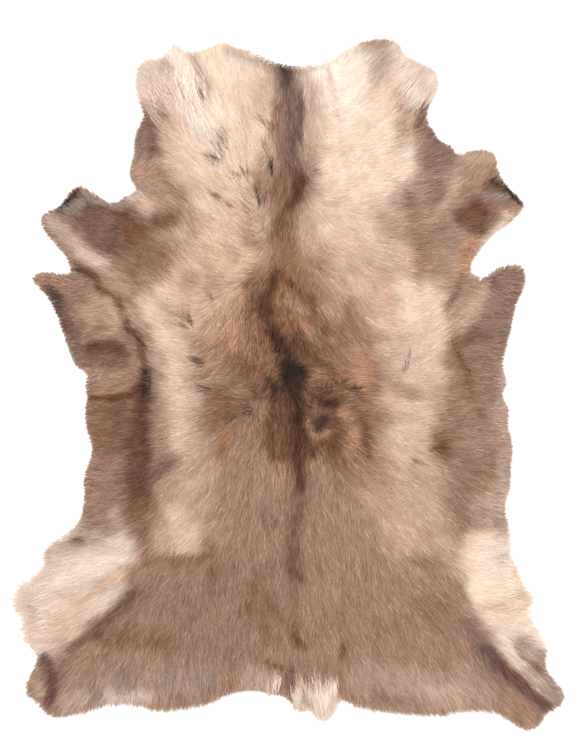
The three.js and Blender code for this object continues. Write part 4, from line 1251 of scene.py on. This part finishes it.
@dataclass(frozen=True)
class HairFinish:
    """Combed reindeer hair: hollow, dull-bright strands whose colour runs along each lock.

    Each lock keeps its own tone, and a grain finer than a lock breaks it into strands.
    """

    name: str
    strand: float = 0.9 * MM
    contrast: float = 0.1
    grain_range: tuple[float, float] = (0.3, 0.7)
    roughness: float = 0.5
    specular: float = 0.08

    def material(self) -> bpy.types.Material:
        """Make the hair's material from the tones painted on the piece."""
        material, tree = new_material(self.name)
        tone = add_node(tree, "ShaderNodeAttribute", {"attribute_name": TONE_LAYER})
        place = add_node(tree, "ShaderNodeTexCoord").outputs["Object"]
        grain = add_node(tree, "ShaderNodeTexNoise", Vector=place, Scale=1 / self.strand, Detail=2.0)
        value = add_node(tree, "ShaderNodeMapRange", Value=grain.outputs["Fac"])
        value.inputs["From Min"].default_value = self.grain_range[0]
        value.inputs["From Max"].default_value = self.grain_range[1]
        value.inputs["To Min"].default_value = 1 - self.contrast
        value.inputs["To Max"].default_value = 1 + self.contrast
        strands = add_node(
            tree, "ShaderNodeVectorMath", {"operation": "SCALE"}, Scale=value.outputs["Result"]
        )
        tree.links.new(tone.outputs["Color"], strands.inputs["Vector"])
        shader = add_node(
            tree,
            "ShaderNodeBsdfPrincipled",
            Base_Color=strands.outputs["Vector"],
            Roughness=self.roughness,
            Specular_IOR_Level=self.specular,
        )
        add_node(tree, "ShaderNodeOutputMaterial", Surface=shader.outputs["BSDF"])
        return material


@dataclass(frozen=True)
class Plan:
    """A flat triangulation of the hide: its places and its triangles, anticlockwise from above."""

    places: np.ndarray
    triangles: np.ndarray

    def walls(self) -> np.ndarray:
        """Return the triangles that close the rim between this plan on top and a copy of it below."""
        pairs = self.triangles[:, [0, 1, 1, 2, 2, 0]].reshape(-1, 2)
        known = set(map(tuple, pairs.tolist()))
        rim = np.array([pair for pair in pairs.tolist() if (pair[1], pair[0]) not in known])
        start, end = rim.T
        below = len(self.places)
        first = np.stack([end, start, start + below], axis=1)
        second = np.stack([end, start + below, end + below], axis=1)
        return np.vstack([first, second])


@dataclass
class LaidLayer:
    """A closed layer of the hide, which follows the form from a rim inside its edge.

    rim_clearance is how far from the rim the inner places start, and least_step how close two places of
    the rim may come, both as shares of the spacing.
    """

    form: HideForm
    name: str
    inset: float
    spacing: float
    seed: int
    rim_clearance: float = 0.6
    least_step: float = 0.35
    insetting_rounds: int = 4

    def plan(self) -> Plan:
        """Lay out the layer's outline, drawn in from the hide's edge, and the places inside it."""
        outline = self._inset_outline()
        low, high = outline.min(axis=0), outline.max(axis=0)
        places = scattered(low, high, self.spacing, self.seed)
        places = places[self.form.depth_at(places) > self.inset + self.rim_clearance * self.spacing]
        points = [Vector(point) for point in np.vstack([outline, places]).tolist()]
        count = len(outline)
        rim = [(at, (at + 1) % count) for at in range(count)]
        found, _, triangles, *_ = delaunay_2d_cdt(points, rim, [], 1, 1e-6)
        corners = np.array([tuple(point) for point in found])
        numbers = np.array(triangles)
        clockwise = doubled_areas(corners, numbers) < 0
        numbers[clockwise] = numbers[clockwise][:, ::-1]
        return Plan(corners, numbers)

    def _inset_outline(self) -> np.ndarray:
        """Draw the hide's edge inwards by the inset, and keep it where it doesn't cross itself."""
        closed = np.vstack([self.form.edge, self.form.edge[:1]])
        lengths = np.linalg.norm(np.diff(closed, axis=0), axis=1)
        at = np.concatenate([[0], np.cumsum(lengths)])
        even = np.arange(0, at[-1], self.spacing)
        edge = np.stack([np.interp(even, at, closed[:, axis]) for axis in (0, 1)], axis=1)
        places = edge
        for _ in range(self.insetting_rounds):
            short = self.inset - self.form.depth_at(places)
            places = places - self.form.sample(self.form.outward, places) * short[:, None]
        steps = np.linalg.norm(places - np.roll(places, 1, axis=0), axis=1)
        return places[steps > self.least_step * self.spacing]

    def build(self, plan: Plan, top: np.ndarray, bottom: np.ndarray) -> bpy.types.Object:
        """Make the closed mesh between two heights over one plan.

        Args:
            plan: The layer's flat triangulation.
            top: The height of the upper face at each of the plan's places.
            bottom: The height of the lower face there.

        Returns:
            The layer's object.
        """
        upper = np.column_stack([plan.places, top])
        lower = np.column_stack([plan.places, bottom])
        underside = plan.triangles[:, ::-1] + len(upper)
        triangles = np.vstack([plan.triangles, underside, plan.walls()])
        return mesh_piece(self.name, np.vstack([upper, lower]), triangles)


@dataclass
class Skin:
    """The tanned skin: one piece, 2 mm thick, whose flesh side lies on the floor."""

    form: HideForm
    inset: float = 3.8 * MM
    spacing: float = 11 * MM
    seed: int = 21
    finish: SuedeFinish = field(default_factory=SuedeFinish)
    area: float = 0.0
    flat: tuple[float, ...] = (0.0, 0.0)

    def build(self) -> bpy.types.Object:
        """Make the skin on the underside of the form."""
        layer = LaidLayer(self.form, "skin", self.inset, self.spacing, self.seed)
        plan = layer.plan()
        under = np.maximum(self.form.sample(self.form.under, plan.places), 0)
        piece = layer.build(plan, under + self.form.SKIN, under)
        piece.data.materials.append(self.finish.material())
        self.area = float(np.abs(doubled_areas(plan.places, plan.triangles)).sum() / 2)
        self.flat = tuple(float(size) for size in np.ptp(plan.places, axis=0))
        return piece


@dataclass
class Underwool:
    """The short dense wool under the guard hair, which fills the coat and shades its partings.

    Its top is at rim_share of the coat's depth at the rim, and added_share higher past filling inside.
    """

    form: HideForm
    coat: Coat
    inset: float = 4.8 * MM
    spacing: float = 6.2 * MM
    seed: int = 31
    lift: float = 0.25 * MM
    thinnest: float = 0.4 * MM
    rim_share: float = 0.08
    added_share: float = 0.5
    filling: float = 16 * MM
    waves: Ripple = Ripple(0.09, 14 * MM, 32)
    tufting: float = 0.05
    tufting_seed: int = 33
    shade: float = 0.62
    pale_shade: float = 0.86
    finish: HairFinish = field(default_factory=lambda: HairFinish("underwool_felted", contrast=0.3))

    def build(self) -> bpy.types.Object:
        """Make the wool as a closed, uneven layer between the skin and the guard hair."""
        layer = LaidLayer(self.form, "underwool", self.inset, self.spacing, self.seed)
        plan = layer.plan()
        depth = self.form.depth_at(plan.places)
        bottom = self.form.height(plan.places, 0) + self.lift
        full = self.rim_share + self.added_share * ease((depth - self.inset) / self.filling)
        uneven = self.waves.at(plan.places)
        draw = np.random.default_rng(self.tufting_seed)
        uneven += draw.uniform(-self.tufting, self.tufting, len(depth))
        top = np.maximum(self.form.height(plan.places, full + uneven), bottom + self.thinnest)
        piece = layer.build(plan, top, bottom)
        colours = self.coat.colour(plan.places)
        # Painted shade: the wool is darker than the coat's colour, pale wool less so, for the shade deep
        # among the hair.
        colours *= self.shade + (self.pale_shade - self.shade) * paleness(colours)[:, None]
        paint(piece, np.vstack([colours, colours]))
        piece.data.materials.append(self.finish.material())
        return piece


@dataclass
class Locks:
    """Locks of hair as arrays with a row for each lock, and how they are drawn as closed spindles.

    stations are the shares of the length where a lock has a ring of three corners, spokes are the
    directions of those corners in degrees, and girths are the widths there as shares of the full width.
    dark_shades and pale_shades are how bright the darkest and the palest hair is from root to tip; the
    darker roots are partly the hair's own banding and partly painted shade down in the coat.
    flatness is a lock's thickness as a share of its width. A rise_bend below 1 lifts a lock soon after
    its root. tones are linear colours, one for each lock, or one for each point from root to tip.
    """

    roots: np.ndarray
    tips: np.ndarray
    bows: np.ndarray
    widths: np.ndarray
    rises: np.ndarray
    tones: np.ndarray
    stations: tuple[float, ...] = (0.42,)
    girths: tuple[float, ...] = (1.0,)
    spokes: tuple[float, ...] = (90, 210, 330)
    dark_shades: tuple[float, ...] = (0.45, 0.85, 1.15)
    pale_shades: tuple[float, ...] = (0.84, 0.98, 1.03)
    flatness: float = 0.36
    floor_gap: float = 0.9 * MM
    rise_bend: float = 0.8

    def centre_lines(self, form: HideForm) -> np.ndarray:
        """Return each lock's centre line as points from root to tip, over the form."""
        shares = np.array([0, *self.stations, 1])
        run = self.tips - self.roots
        aside = np.stack([-run[:, 1], run[:, 0]], axis=1) * self.bows[:, None]
        flat = (
            self.roots[:, None]
            + run[:, None] * shares[:, None]
            + aside[:, None] * np.sin(np.pi * shares)[:, None]
        )
        rise = self.rises[:, :1] + (self.rises[:, 1:] - self.rises[:, :1]) * shares**self.rise_bend
        heights = form.height(flat.reshape(-1, 2), rise.ravel()).reshape(rise.shape)
        return np.concatenate([flat, np.maximum(heights, self.floor_gap)[..., None]], axis=2)

    def build(self, name: str, form: HideForm, finish: HairFinish) -> bpy.types.Object:
        """Make one mesh of all the locks.

        Args:
            name: The object's name.
            form: What the locks lie on.
            finish: The hair's finish.

        Returns:
            The object, with its tones painted and its baking map.
        """
        lines = self.centre_lines(form)
        count, rings = len(lines), len(self.stations)
        corners = [lines[:, :1]]
        for at, girth in enumerate(self.girths, start=1):
            forward = unit(lines[:, at + 1] - lines[:, at - 1])
            aside = unit(np.cross(forward, np.array([0.0, 0.0, 1.0])))
            above = np.cross(aside, forward)
            half = (self.widths * girth / 2)[:, None]
            for turn in np.radians(self.spokes):
                spoke = aside * math.cos(turn) + above * (math.sin(turn) * self.flatness)
                corners.append((lines[:, at] + spoke * half)[:, None])
        corners.append(lines[:, -1:])
        places = np.concatenate(corners, axis=1)
        pattern = self._pattern(rings)
        size = places.shape[1]
        triangles = (pattern[None] + (np.arange(count) * size)[:, None, None]).reshape(-1, 3)
        piece = mesh_piece(name, places.reshape(-1, 3), triangles)
        levels = np.array([0, *np.repeat(np.arange(1, rings + 1), 3), rings + 1])
        tones = np.broadcast_to(
            self.tones if self.tones.ndim == 3 else self.tones[:, None], (count, rings + 2, 3)
        )[:, levels]
        dark, pale = np.array(self.dark_shades)[levels], np.array(self.pale_shades)[levels]
        shades = dark + (pale - dark) * paleness(tones)
        paint(piece, (tones * shades[..., None]).reshape(-1, 3))
        self._map(piece, count, levels / (rings + 1), triangles)
        piece.data.shade_flat()
        piece.data.materials.append(finish.material())
        return piece

    @staticmethod
    def _pattern(rings: int) -> np.ndarray:
        """Return the triangles of one lock with some rings between its root and its tip."""
        rows = []
        for side in range(3):
            here, there = 1 + side, 1 + (side + 1) % 3
            rows.append((0, here, there))
            for ring in range(rings - 1):
                a, b = here + 3 * ring, there + 3 * ring
                rows += [(a, a + 3, b), (b, a + 3, b + 3)]
            last = 3 * (rings - 1)
            rows.append((there + last, here + last, 1 + 3 * rings))
        return np.array(rows)

    @staticmethod
    def _map(piece: bpy.types.Object, count: int, levels: np.ndarray, triangles: np.ndarray) -> None:
        """Give each lock its own cell of the baking map, in the order of the locks."""
        across = math.ceil(math.sqrt(count))
        inset, size = 0.15, len(levels)
        column, row = np.arange(count) % across, np.arange(count) // across
        sideways = np.full(size, 0.5)
        sideways[1:-1] = np.tile([0.5, 0.0, 1.0], (size - 2) // 3)
        u = (column[:, None] + inset + (1 - 2 * inset) * sideways) / across
        v = (row[:, None] + inset + (1 - 2 * inset) * levels) / across
        places = np.stack([u, v], axis=-1).reshape(-1, 2)
        layer = piece.data.uv_layers.new(name=BAKE_MAP)
        layer.data.foreach_set("uv", places[triangles.ravel()].astype(np.float32).ravel())


@dataclass(frozen=True)
class LockShape:
    """How one kind of lock is shaped.

    Its bow to the side is a share of its length, and the rises of its root and its tip are shares of
    the coat's depth.
    """

    width: float
    width_range: tuple[float, float]
    bow: float
    root_rise: float
    tip_rise: tuple[float, float]

    def drawn(self, draw: np.random.Generator, count: int) -> dict[str, np.ndarray]:
        """Draw the bows, the widths and the rises of some locks."""
        return {
            "bows": draw.normal(0, self.bow, count),
            "widths": self.width * draw.uniform(*self.width_range, count),
            "rises": np.stack(
                [np.full(count, self.root_rise), draw.uniform(*self.tip_rise, count)], axis=1
            ),
        }


def trimmed(form: HideForm, roots: np.ndarray, tips: np.ndarray, overhang: np.ndarray) -> np.ndarray:
    """Shorten the locks that reach too far past the hide's edge.

    Args:
        form: The form of the hide.
        roots: The locks' roots.
        tips: Their tips.
        overhang: How far past the edge each lock may reach.

    Returns:
        The tips, with those that were too far out moved back towards their roots.
    """
    least_length, rounds, surplus = 7 * MM, 3, 1.1
    for _ in range(rounds):
        run = tips - roots
        lengths = np.maximum(np.linalg.norm(run, axis=1), 1e-6)
        too_far = np.maximum(0, -form.depth_at(tips) - overhang)
        kept = np.maximum(lengths - surplus * too_far, least_length) / lengths
        tips = roots + run * np.minimum(kept, 1)[:, None]
    return tips


@dataclass
class GuardHair:
    """The long outer hair in combed locks, built as layers that each cover the whole hide.

    A rise is a share of the coat's depth, and its gain what the topmost layer has over the lowest. Each
    change of tone has the strength that it has in the palest hair, and what the darkest hair adds to it.
    """

    form: HideForm
    coat: Coat
    layers: int = 4
    spacing: float = 5.3 * MM
    root_depth: float = 4.5 * MM
    seed: int = 100
    root_seed: int = 200
    turns: tuple[Ripple, Ripple] = (Ripple(9, 14 * MM, 44), Ripple(9, 40 * MM, 45))
    straying: float = 9
    length_spread: float = 0.22
    bundle: float = 6.5 * MM
    bundle_shift: tuple[Ripple, Ripple] = (Ripple(1, 15 * MM, 42), Ripple(1, 15 * MM, 43))
    bundle_pull: tuple[float, float] = (0.1, 0.42)
    overhang_range: tuple[float, float] = (0.1, 1.25)
    root_rise: float = 0.3
    root_rise_gain: float = 0.12
    root_rise_spread: float = 0.06
    tip_rise: float = 0.8
    tip_rise_gain: float = 0.2
    tip_rise_waves: Ripple = Ripple(0.05, 8 * MM, 47)
    tip_rise_spread: float = 0.04
    bow: float = 0.07
    width: float = 1.9 * MM
    narrowing: float = 1.05 * MM
    width_range: tuple[float, float] = (0.75, 1.25)
    rim_pull: float = 0.85
    shown: float = 0.65
    banding: float = 0.85
    raggedness: float = 3 * MM
    stray_raggedness: float = 0.6
    boldness: float = 1.5
    fine: Streak = Streak(3 * MM, 8, 46)
    fine_change: tuple[float, float] = (0.04, 0.16)
    broad: Streak = Streak(9 * MM, 5, 48)
    broad_change: tuple[float, float] = (0.035, 0.08)
    mottle: Ripple = Ripple(1, 8 * MM, 49)
    mottle_change: float = 0.09
    lock_change: tuple[float, float] = (0.06, 0.26)
    lift: float = 0.01
    brightest: float = 0.46
    warmth: tuple[float, float, float] = (0.015, 0.0, -0.04)
    finish: HairFinish = field(default_factory=lambda: HairFinish("winter_guard_hair"))

    def build(self) -> list[bpy.types.Object]:
        """Make the layers from the lowest to the topmost."""
        return [self._layer(number) for number in range(self.layers)]

    def _layer(self, number: int) -> bpy.types.Object:
        """Make one layer of locks, finer and closer to the coat's top the higher it is."""
        height = number / (self.layers - 1)
        draw = np.random.default_rng(self.seed + number)
        low, high = self.form.edge.min(axis=0), self.form.edge.max(axis=0)
        roots = scattered(low, high, self.spacing, self.root_seed + number)
        roots = roots[self.form.depth_at(roots) > self.root_depth]
        count = len(roots)
        bundle = self._bundle_middles(roots)
        turn = sum(ripple.at(roots) for ripple in self.turns)
        lie = self.coat.lie(roots, self.rim_pull)
        heading = turned(lie, turn + draw.normal(0, self.straying, count))
        spread = draw.uniform(-self.length_spread, self.length_spread, count)
        tips = roots + heading * (self.coat.length(roots) * (1 + spread))[:, None]
        tips += (bundle - roots) * draw.uniform(*self.bundle_pull, (count, 1))
        overhang = self.coat.overhang(roots) * draw.uniform(*self.overhang_range, count)
        tips = trimmed(self.form, roots, tips, overhang)
        heading = unit(tips - roots)
        lengths = np.linalg.norm(tips - roots, axis=1)
        tone = self._tones(roots, heading, lengths, draw)
        rises = np.empty((count, 2))
        rises[:, 0] = self.root_rise + self.root_rise_gain * height
        rises[:, 0] += draw.uniform(-self.root_rise_spread, self.root_rise_spread, count)
        rises[:, 1] = self.tip_rise + self.tip_rise_gain * height + self.tip_rise_waves.at(bundle)
        rises[:, 1] += draw.normal(0, self.tip_rise_spread, count)
        locks = Locks(
            roots=roots,
            tips=tips,
            bows=draw.normal(0, self.bow, count),
            widths=(self.width - self.narrowing * height) * draw.uniform(*self.width_range, count),
            rises=rises,
            tones=tone,
        )
        return locks.build(f"guard_hair_{number + 1}", self.form, self.finish)

    def _tones(
        self, roots: np.ndarray, heading: np.ndarray, lengths: np.ndarray, draw: np.random.Generator
    ) -> np.ndarray:
        """Choose each lock's colour: that of the coat where it shows, streaked and varied.

        Dark hair is banded, so it varies more from lock to lock than pale hair does.

        Args:
            roots: The locks' roots.
            heading: Their headings.
            lengths: Their lengths.
            draw: What their variation is drawn from.

        Returns:
            Linear colours, for each lock a row of one at the root, at each station and at the tip.
        """
        shown = roots + heading * (self.shown * lengths)[:, None]
        fine, broad = self.fine.at(shown, heading), self.broad.at(shown, heading)
        mottle = self.mottle.at(shown)
        shift = self.raggedness * (fine + draw.normal(0, self.stray_raggedness, len(roots)))
        along = np.array([0, *Locks.stations, 1])
        along = self.shown + (along - self.shown) * self.banding
        places = roots[:, None] + heading[:, None] * (along * lengths[:, None] + shift[:, None])[..., None]
        tones = self.coat.colour(places.reshape(-1, 2)).reshape(places.shape[:2] + (3,))
        bold = (1 - paleness(tones[:, -1])) ** self.boldness
        fine_change, broad_change, lock_change = (
            pale + dark * bold for pale, dark in (self.fine_change, self.broad_change, self.lock_change)
        )
        change = fine_change * fine + broad_change * broad + self.mottle_change * bold * mottle
        change += lock_change * draw.normal(0, 1, len(roots))
        change = np.minimum(change * self.coat.liveliness(shown) + self.lift, self.brightest)
        warmth = np.array(self.warmth) * draw.normal(0, 1, len(roots))[:, None]
        return tones * np.exp(change[:, None] + warmth)[:, None]

    def _bundle_middles(self, places: np.ndarray) -> np.ndarray:
        """Return the middle of the bundle of hair that each place belongs to, in uneven cells."""
        shift = np.stack([ripple.at(places) for ripple in self.bundle_shift], axis=1)
        cell = np.floor(places / self.bundle + shift)
        return (cell + 0.5 - shift) * self.bundle


@dataclass
class EdgeHair:
    """Short hair that is combed out over the hide's cut edge all round, and hides it."""

    form: HideForm
    coat: Coat
    spacing: float = 3.0 * MM
    nearest: float = 2.0 * MM
    furthest: float = 14 * MM
    seed: int = 71
    root_seed: int = 72
    rim_pull: float = 0.85
    lie_share: float = 0.6
    straying: float = 12
    length: float = 15 * MM
    length_range: tuple[float, float] = (0.6, 1.1)
    overhang_range: tuple[float, float] = (0, 1.3)
    shape: LockShape = LockShape(1.8 * MM, (0.75, 1.25), 0.08, 0.2, (0.55, 0.9))
    tone_spread: float = 0.08
    finish: HairFinish = field(default_factory=lambda: HairFinish("edge_hair"))

    def build(self) -> bpy.types.Object:
        """Make the edge hair as one piece."""
        draw = np.random.default_rng(self.seed)
        low, high = self.form.edge.min(axis=0), self.form.edge.max(axis=0)
        roots = scattered(low, high, self.spacing, self.root_seed)
        depth = self.form.depth_at(roots)
        roots = roots[(depth > self.nearest) & (depth < self.furthest)]
        count = len(roots)
        outward = self.form.sample(self.form.outward, roots)
        lie = unit(self.lie_share * self.coat.lie(roots, self.rim_pull) + outward)
        heading = turned(lie, draw.normal(0, self.straying, count))
        tips = roots + heading * (self.length * draw.uniform(*self.length_range, (count, 1)))
        overhang = self.coat.overhang(roots) * draw.uniform(*self.overhang_range, count)
        tips = trimmed(self.form, roots, tips, overhang)
        locks = Locks(
            roots=roots,
            tips=tips,
            **self.shape.drawn(draw, count),
            tones=self.coat.colour(tips) * (1 + draw.normal(0, self.tone_spread, count))[:, None],
            # Painted light: edge hair is shaded lighter from root to tip than guard hair of the same
            # colour, offsetting the shade where it slopes down to the floor.
            dark_shades=(0.7, 0.95, 1.2),
            pale_shades=(0.95, 1.05, 1.1),
        )
        return locks.build("edge_hair", self.form, self.finish)


@dataclass
class DarkHair:
    """The dark and brown hairs that show singly, as flecks among pale hair and strands on the crown."""

    form: HideForm
    seed: int = 51
    root_scatter: float = 0.6
    length: float = 32 * MM
    length_range: tuple[float, float] = (0.4, 1.2)
    tone_range: tuple[float, float] = (0.6, 2.2)
    shape: LockShape = LockShape(0.6 * MM, (0.7, 1.2), 0.05, 0.75, (1.03, 1.12))
    finish: HairFinish = field(default_factory=lambda: HairFinish("dark_winter_hair"))

    def build(self) -> bpy.types.Object:
        """Make all the flecks as one piece."""
        draw = np.random.default_rng(self.seed)
        roots, tips, tones = [], [], []
        # Some flecks are painted shade: dark hairs laid along creases and a step.
        for fleck in FLECKS:
            route = np.array(fleck.route, float) * MM
            along = draw.uniform(0, 1, (fleck.hairs, 1))
            root = route[0] + (route[-1] - route[0]) * along
            root += draw.normal(0, self.root_scatter * fleck.reach * MM, (fleck.hairs, 2))
            way = heading_vectors(fleck.heading + draw.normal(0, fleck.fan, fleck.hairs))
            roots.append(root)
            tips.append(root + way * (self.length * draw.uniform(*self.length_range, (fleck.hairs, 1))))
            brightness = draw.uniform(*self.tone_range, (fleck.hairs, 1))
            tones.append(strand_colour(linear(fleck.tone) * brightness))
        root, tip = np.vstack(roots), np.vstack(tips)
        count = len(root)
        locks = Locks(
            roots=root,
            tips=tip,
            **self.shape.drawn(draw, count),
            tones=np.vstack(tones),
            dark_shades=(0.8, 1.0, 1.7),
        )
        return locks.build("dark_hair", self.form, self.finish)


@dataclass
class LongHair:
    """The long locks of the tail, of the neck's corner and of the thighs' fringe."""

    form: HideForm
    seed: int = 61
    root_scatter: float = 0.1
    least_scatter: float = 4 * MM
    crossing: float = 0.12
    length_range: tuple[float, float] = (0.55, 1.0)
    length_bend: float = 0.7
    tip_scatter: float = 2 * MM
    shape: LockShape = LockShape(1.25 * MM, (0.7, 1.2), 0.08, 0.45, (1.0, 1.3))
    variation: float = 0.16
    finish: HairFinish = field(default_factory=lambda: HairFinish("long_tuft_hair"))

    def build(self) -> bpy.types.Object:
        """Make all the tufts as one piece."""
        draw = np.random.default_rng(self.seed)
        roots, tips, tones = [], [], []
        for tuft in TUFTS:
            along = draw.uniform(0, 1, (tuft.locks, 1))
            base = np.array(tuft.roots, float) * MM
            end = np.array(tuft.tips, float) * MM
            length = np.linalg.norm(end.mean(axis=0) - base.mean(axis=0))
            scatter = max(self.least_scatter, self.root_scatter * length)
            root = base[0] + (base[1] - base[0]) * along + draw.normal(0, scatter, (tuft.locks, 2))
            aim = np.clip(along + draw.normal(0, self.crossing, along.shape), 0, 1)
            reach = end[0] + (end[1] - end[0]) * aim
            share = draw.uniform(*self.length_range, (tuft.locks, 1)) ** self.length_bend
            roots.append(root)
            tips.append(root + (reach - root) * share + draw.normal(0, self.tip_scatter, root.shape))
            change = np.exp(draw.normal(0, self.variation, (tuft.locks, 1)))
            tones.append(strand_colour(linear(tuft.tone)) * change)
        root, tip = np.vstack(roots), np.vstack(tips)
        count = len(root)
        locks = Locks(
            roots=root,
            tips=tip,
            **self.shape.drawn(draw, count),
            tones=np.vstack(tones),
            stations=(0.2, 0.6),
            girths=(0.9, 0.85),
            dark_shades=(0.5, 0.85, 1.0, 1.1),
            pale_shades=(0.55, 0.85, 1.0, 1.05),
        )
        return locks.build("long_hair", self.form, self.finish)


@dataclass(frozen=True)
class Studio:
    """A pale floor under soft light from above, and the camera straight over the hide."""

    floor_size: float = 8.0
    floor_gap: float = 0.3 * MM
    floor_tones: tuple[float, float] = (0.86, 0.9)
    floor_roughness: float = 0.9
    brushing: float = 3.0
    camera_place: tuple[float, float, float] = (-0.00315, 0.0208, 3.19)
    lens: float = 85.0
    sensor: float = 36.0
    light_place: tuple[float, float, float] = (-0.25, 0.5, 4.2)
    light_size: float = 2.6
    light_power: float = 197.0
    sky: float = 0.8

    def build(self) -> bpy.types.Object:
        """Make the floor, the lights, the camera and the view settings.

        Returns:
            The floor, which the hide rests on.
        """
        scene = bpy.context.scene
        scene.view_settings.view_transform = "Standard"
        bpy.ops.object.select_all(action="DESELECT")
        bpy.ops.mesh.primitive_plane_add(size=self.floor_size, location=(0, 0, -self.floor_gap))
        floor = bpy.context.object
        floor.name = "floor"
        material, tree = new_material("painted_floor")
        place = add_node(tree, "ShaderNodeTexCoord").outputs["Object"]
        brushed = add_node(tree, "ShaderNodeTexNoise", Vector=place, Scale=self.brushing)
        shade = add_node(tree, "ShaderNodeMapRange", Value=brushed.outputs["Fac"])
        shade.inputs["To Min"].default_value = self.floor_tones[0]
        shade.inputs["To Max"].default_value = self.floor_tones[1]
        shader = add_node(
            tree,
            "ShaderNodeBsdfPrincipled",
            Base_Color=shade.outputs["Result"],
            Roughness=self.floor_roughness,
        )
        add_node(tree, "ShaderNodeOutputMaterial", Surface=shader.outputs["BSDF"])
        floor.data.materials.append(material)
        self._lights(scene)
        self._camera(scene)
        return floor

    def _lights(self, scene: bpy.types.Scene) -> None:
        """Light the hide from an even sky and a wide soft lamp above and to the left."""
        world = bpy.data.worlds.new("studio")
        scene.world = world
        world.use_nodes = True
        world.node_tree.nodes.clear()
        sky = add_node(world.node_tree, "ShaderNodeBackground", Strength=self.sky)
        sky.inputs["Color"].default_value = (1, 1, 1, 1)
        add_node(world.node_tree, "ShaderNodeOutputWorld", Surface=sky.outputs["Background"])
        lamp = bpy.data.lights.new("softbox", "AREA")
        lamp.shape = "SQUARE"
        lamp.size = self.light_size
        lamp.energy = self.light_power
        softbox = bpy.data.objects.new("softbox", lamp)
        softbox.location = self.light_place
        aim = Vector((0, 0, 0)) - softbox.location
        softbox.rotation_mode = "QUATERNION"
        softbox.rotation_quaternion = aim.to_track_quat("-Z", "Y")
        scene.collection.objects.link(softbox)

    def _camera(self, scene: bpy.types.Scene) -> None:
        """Hang the camera straight over the hide, with the neck at the top of the picture."""
        data = bpy.data.cameras.new("camera")
        data.lens = self.lens
        data.sensor_width = self.sensor
        camera = bpy.data.objects.new("camera", data)
        camera.location = self.camera_place
        scene.collection.objects.link(camera)
        scene.camera = camera


def main() -> None:
    """Build the hide from the skin up, and log each piece."""
    logging.basicConfig(level=logging.INFO, format="%(message)s")
    log = logging.getLogger("hide")
    floor = Studio().build()
    form = HideForm(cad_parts["hide"])
    coat = Coat(form)
    skin = Skin(form)
    sheet = skin.build()
    hair = [Underwool(form, coat).build(), *GuardHair(form, coat).build()]
    hair += [EdgeHair(form, coat).build(), DarkHair(form).build(), LongHair(form).build()]
    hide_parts("hide")
    for piece in [sheet, *hair]:
        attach(piece, "root")
        log.info("%s: %d triangles", piece.name, len(piece.data.polygons))
    log.info("skin: %.3f by %.3f m, %.3f square metres", *skin.flat, skin.area)


if __name__ == "__main__":
    main()
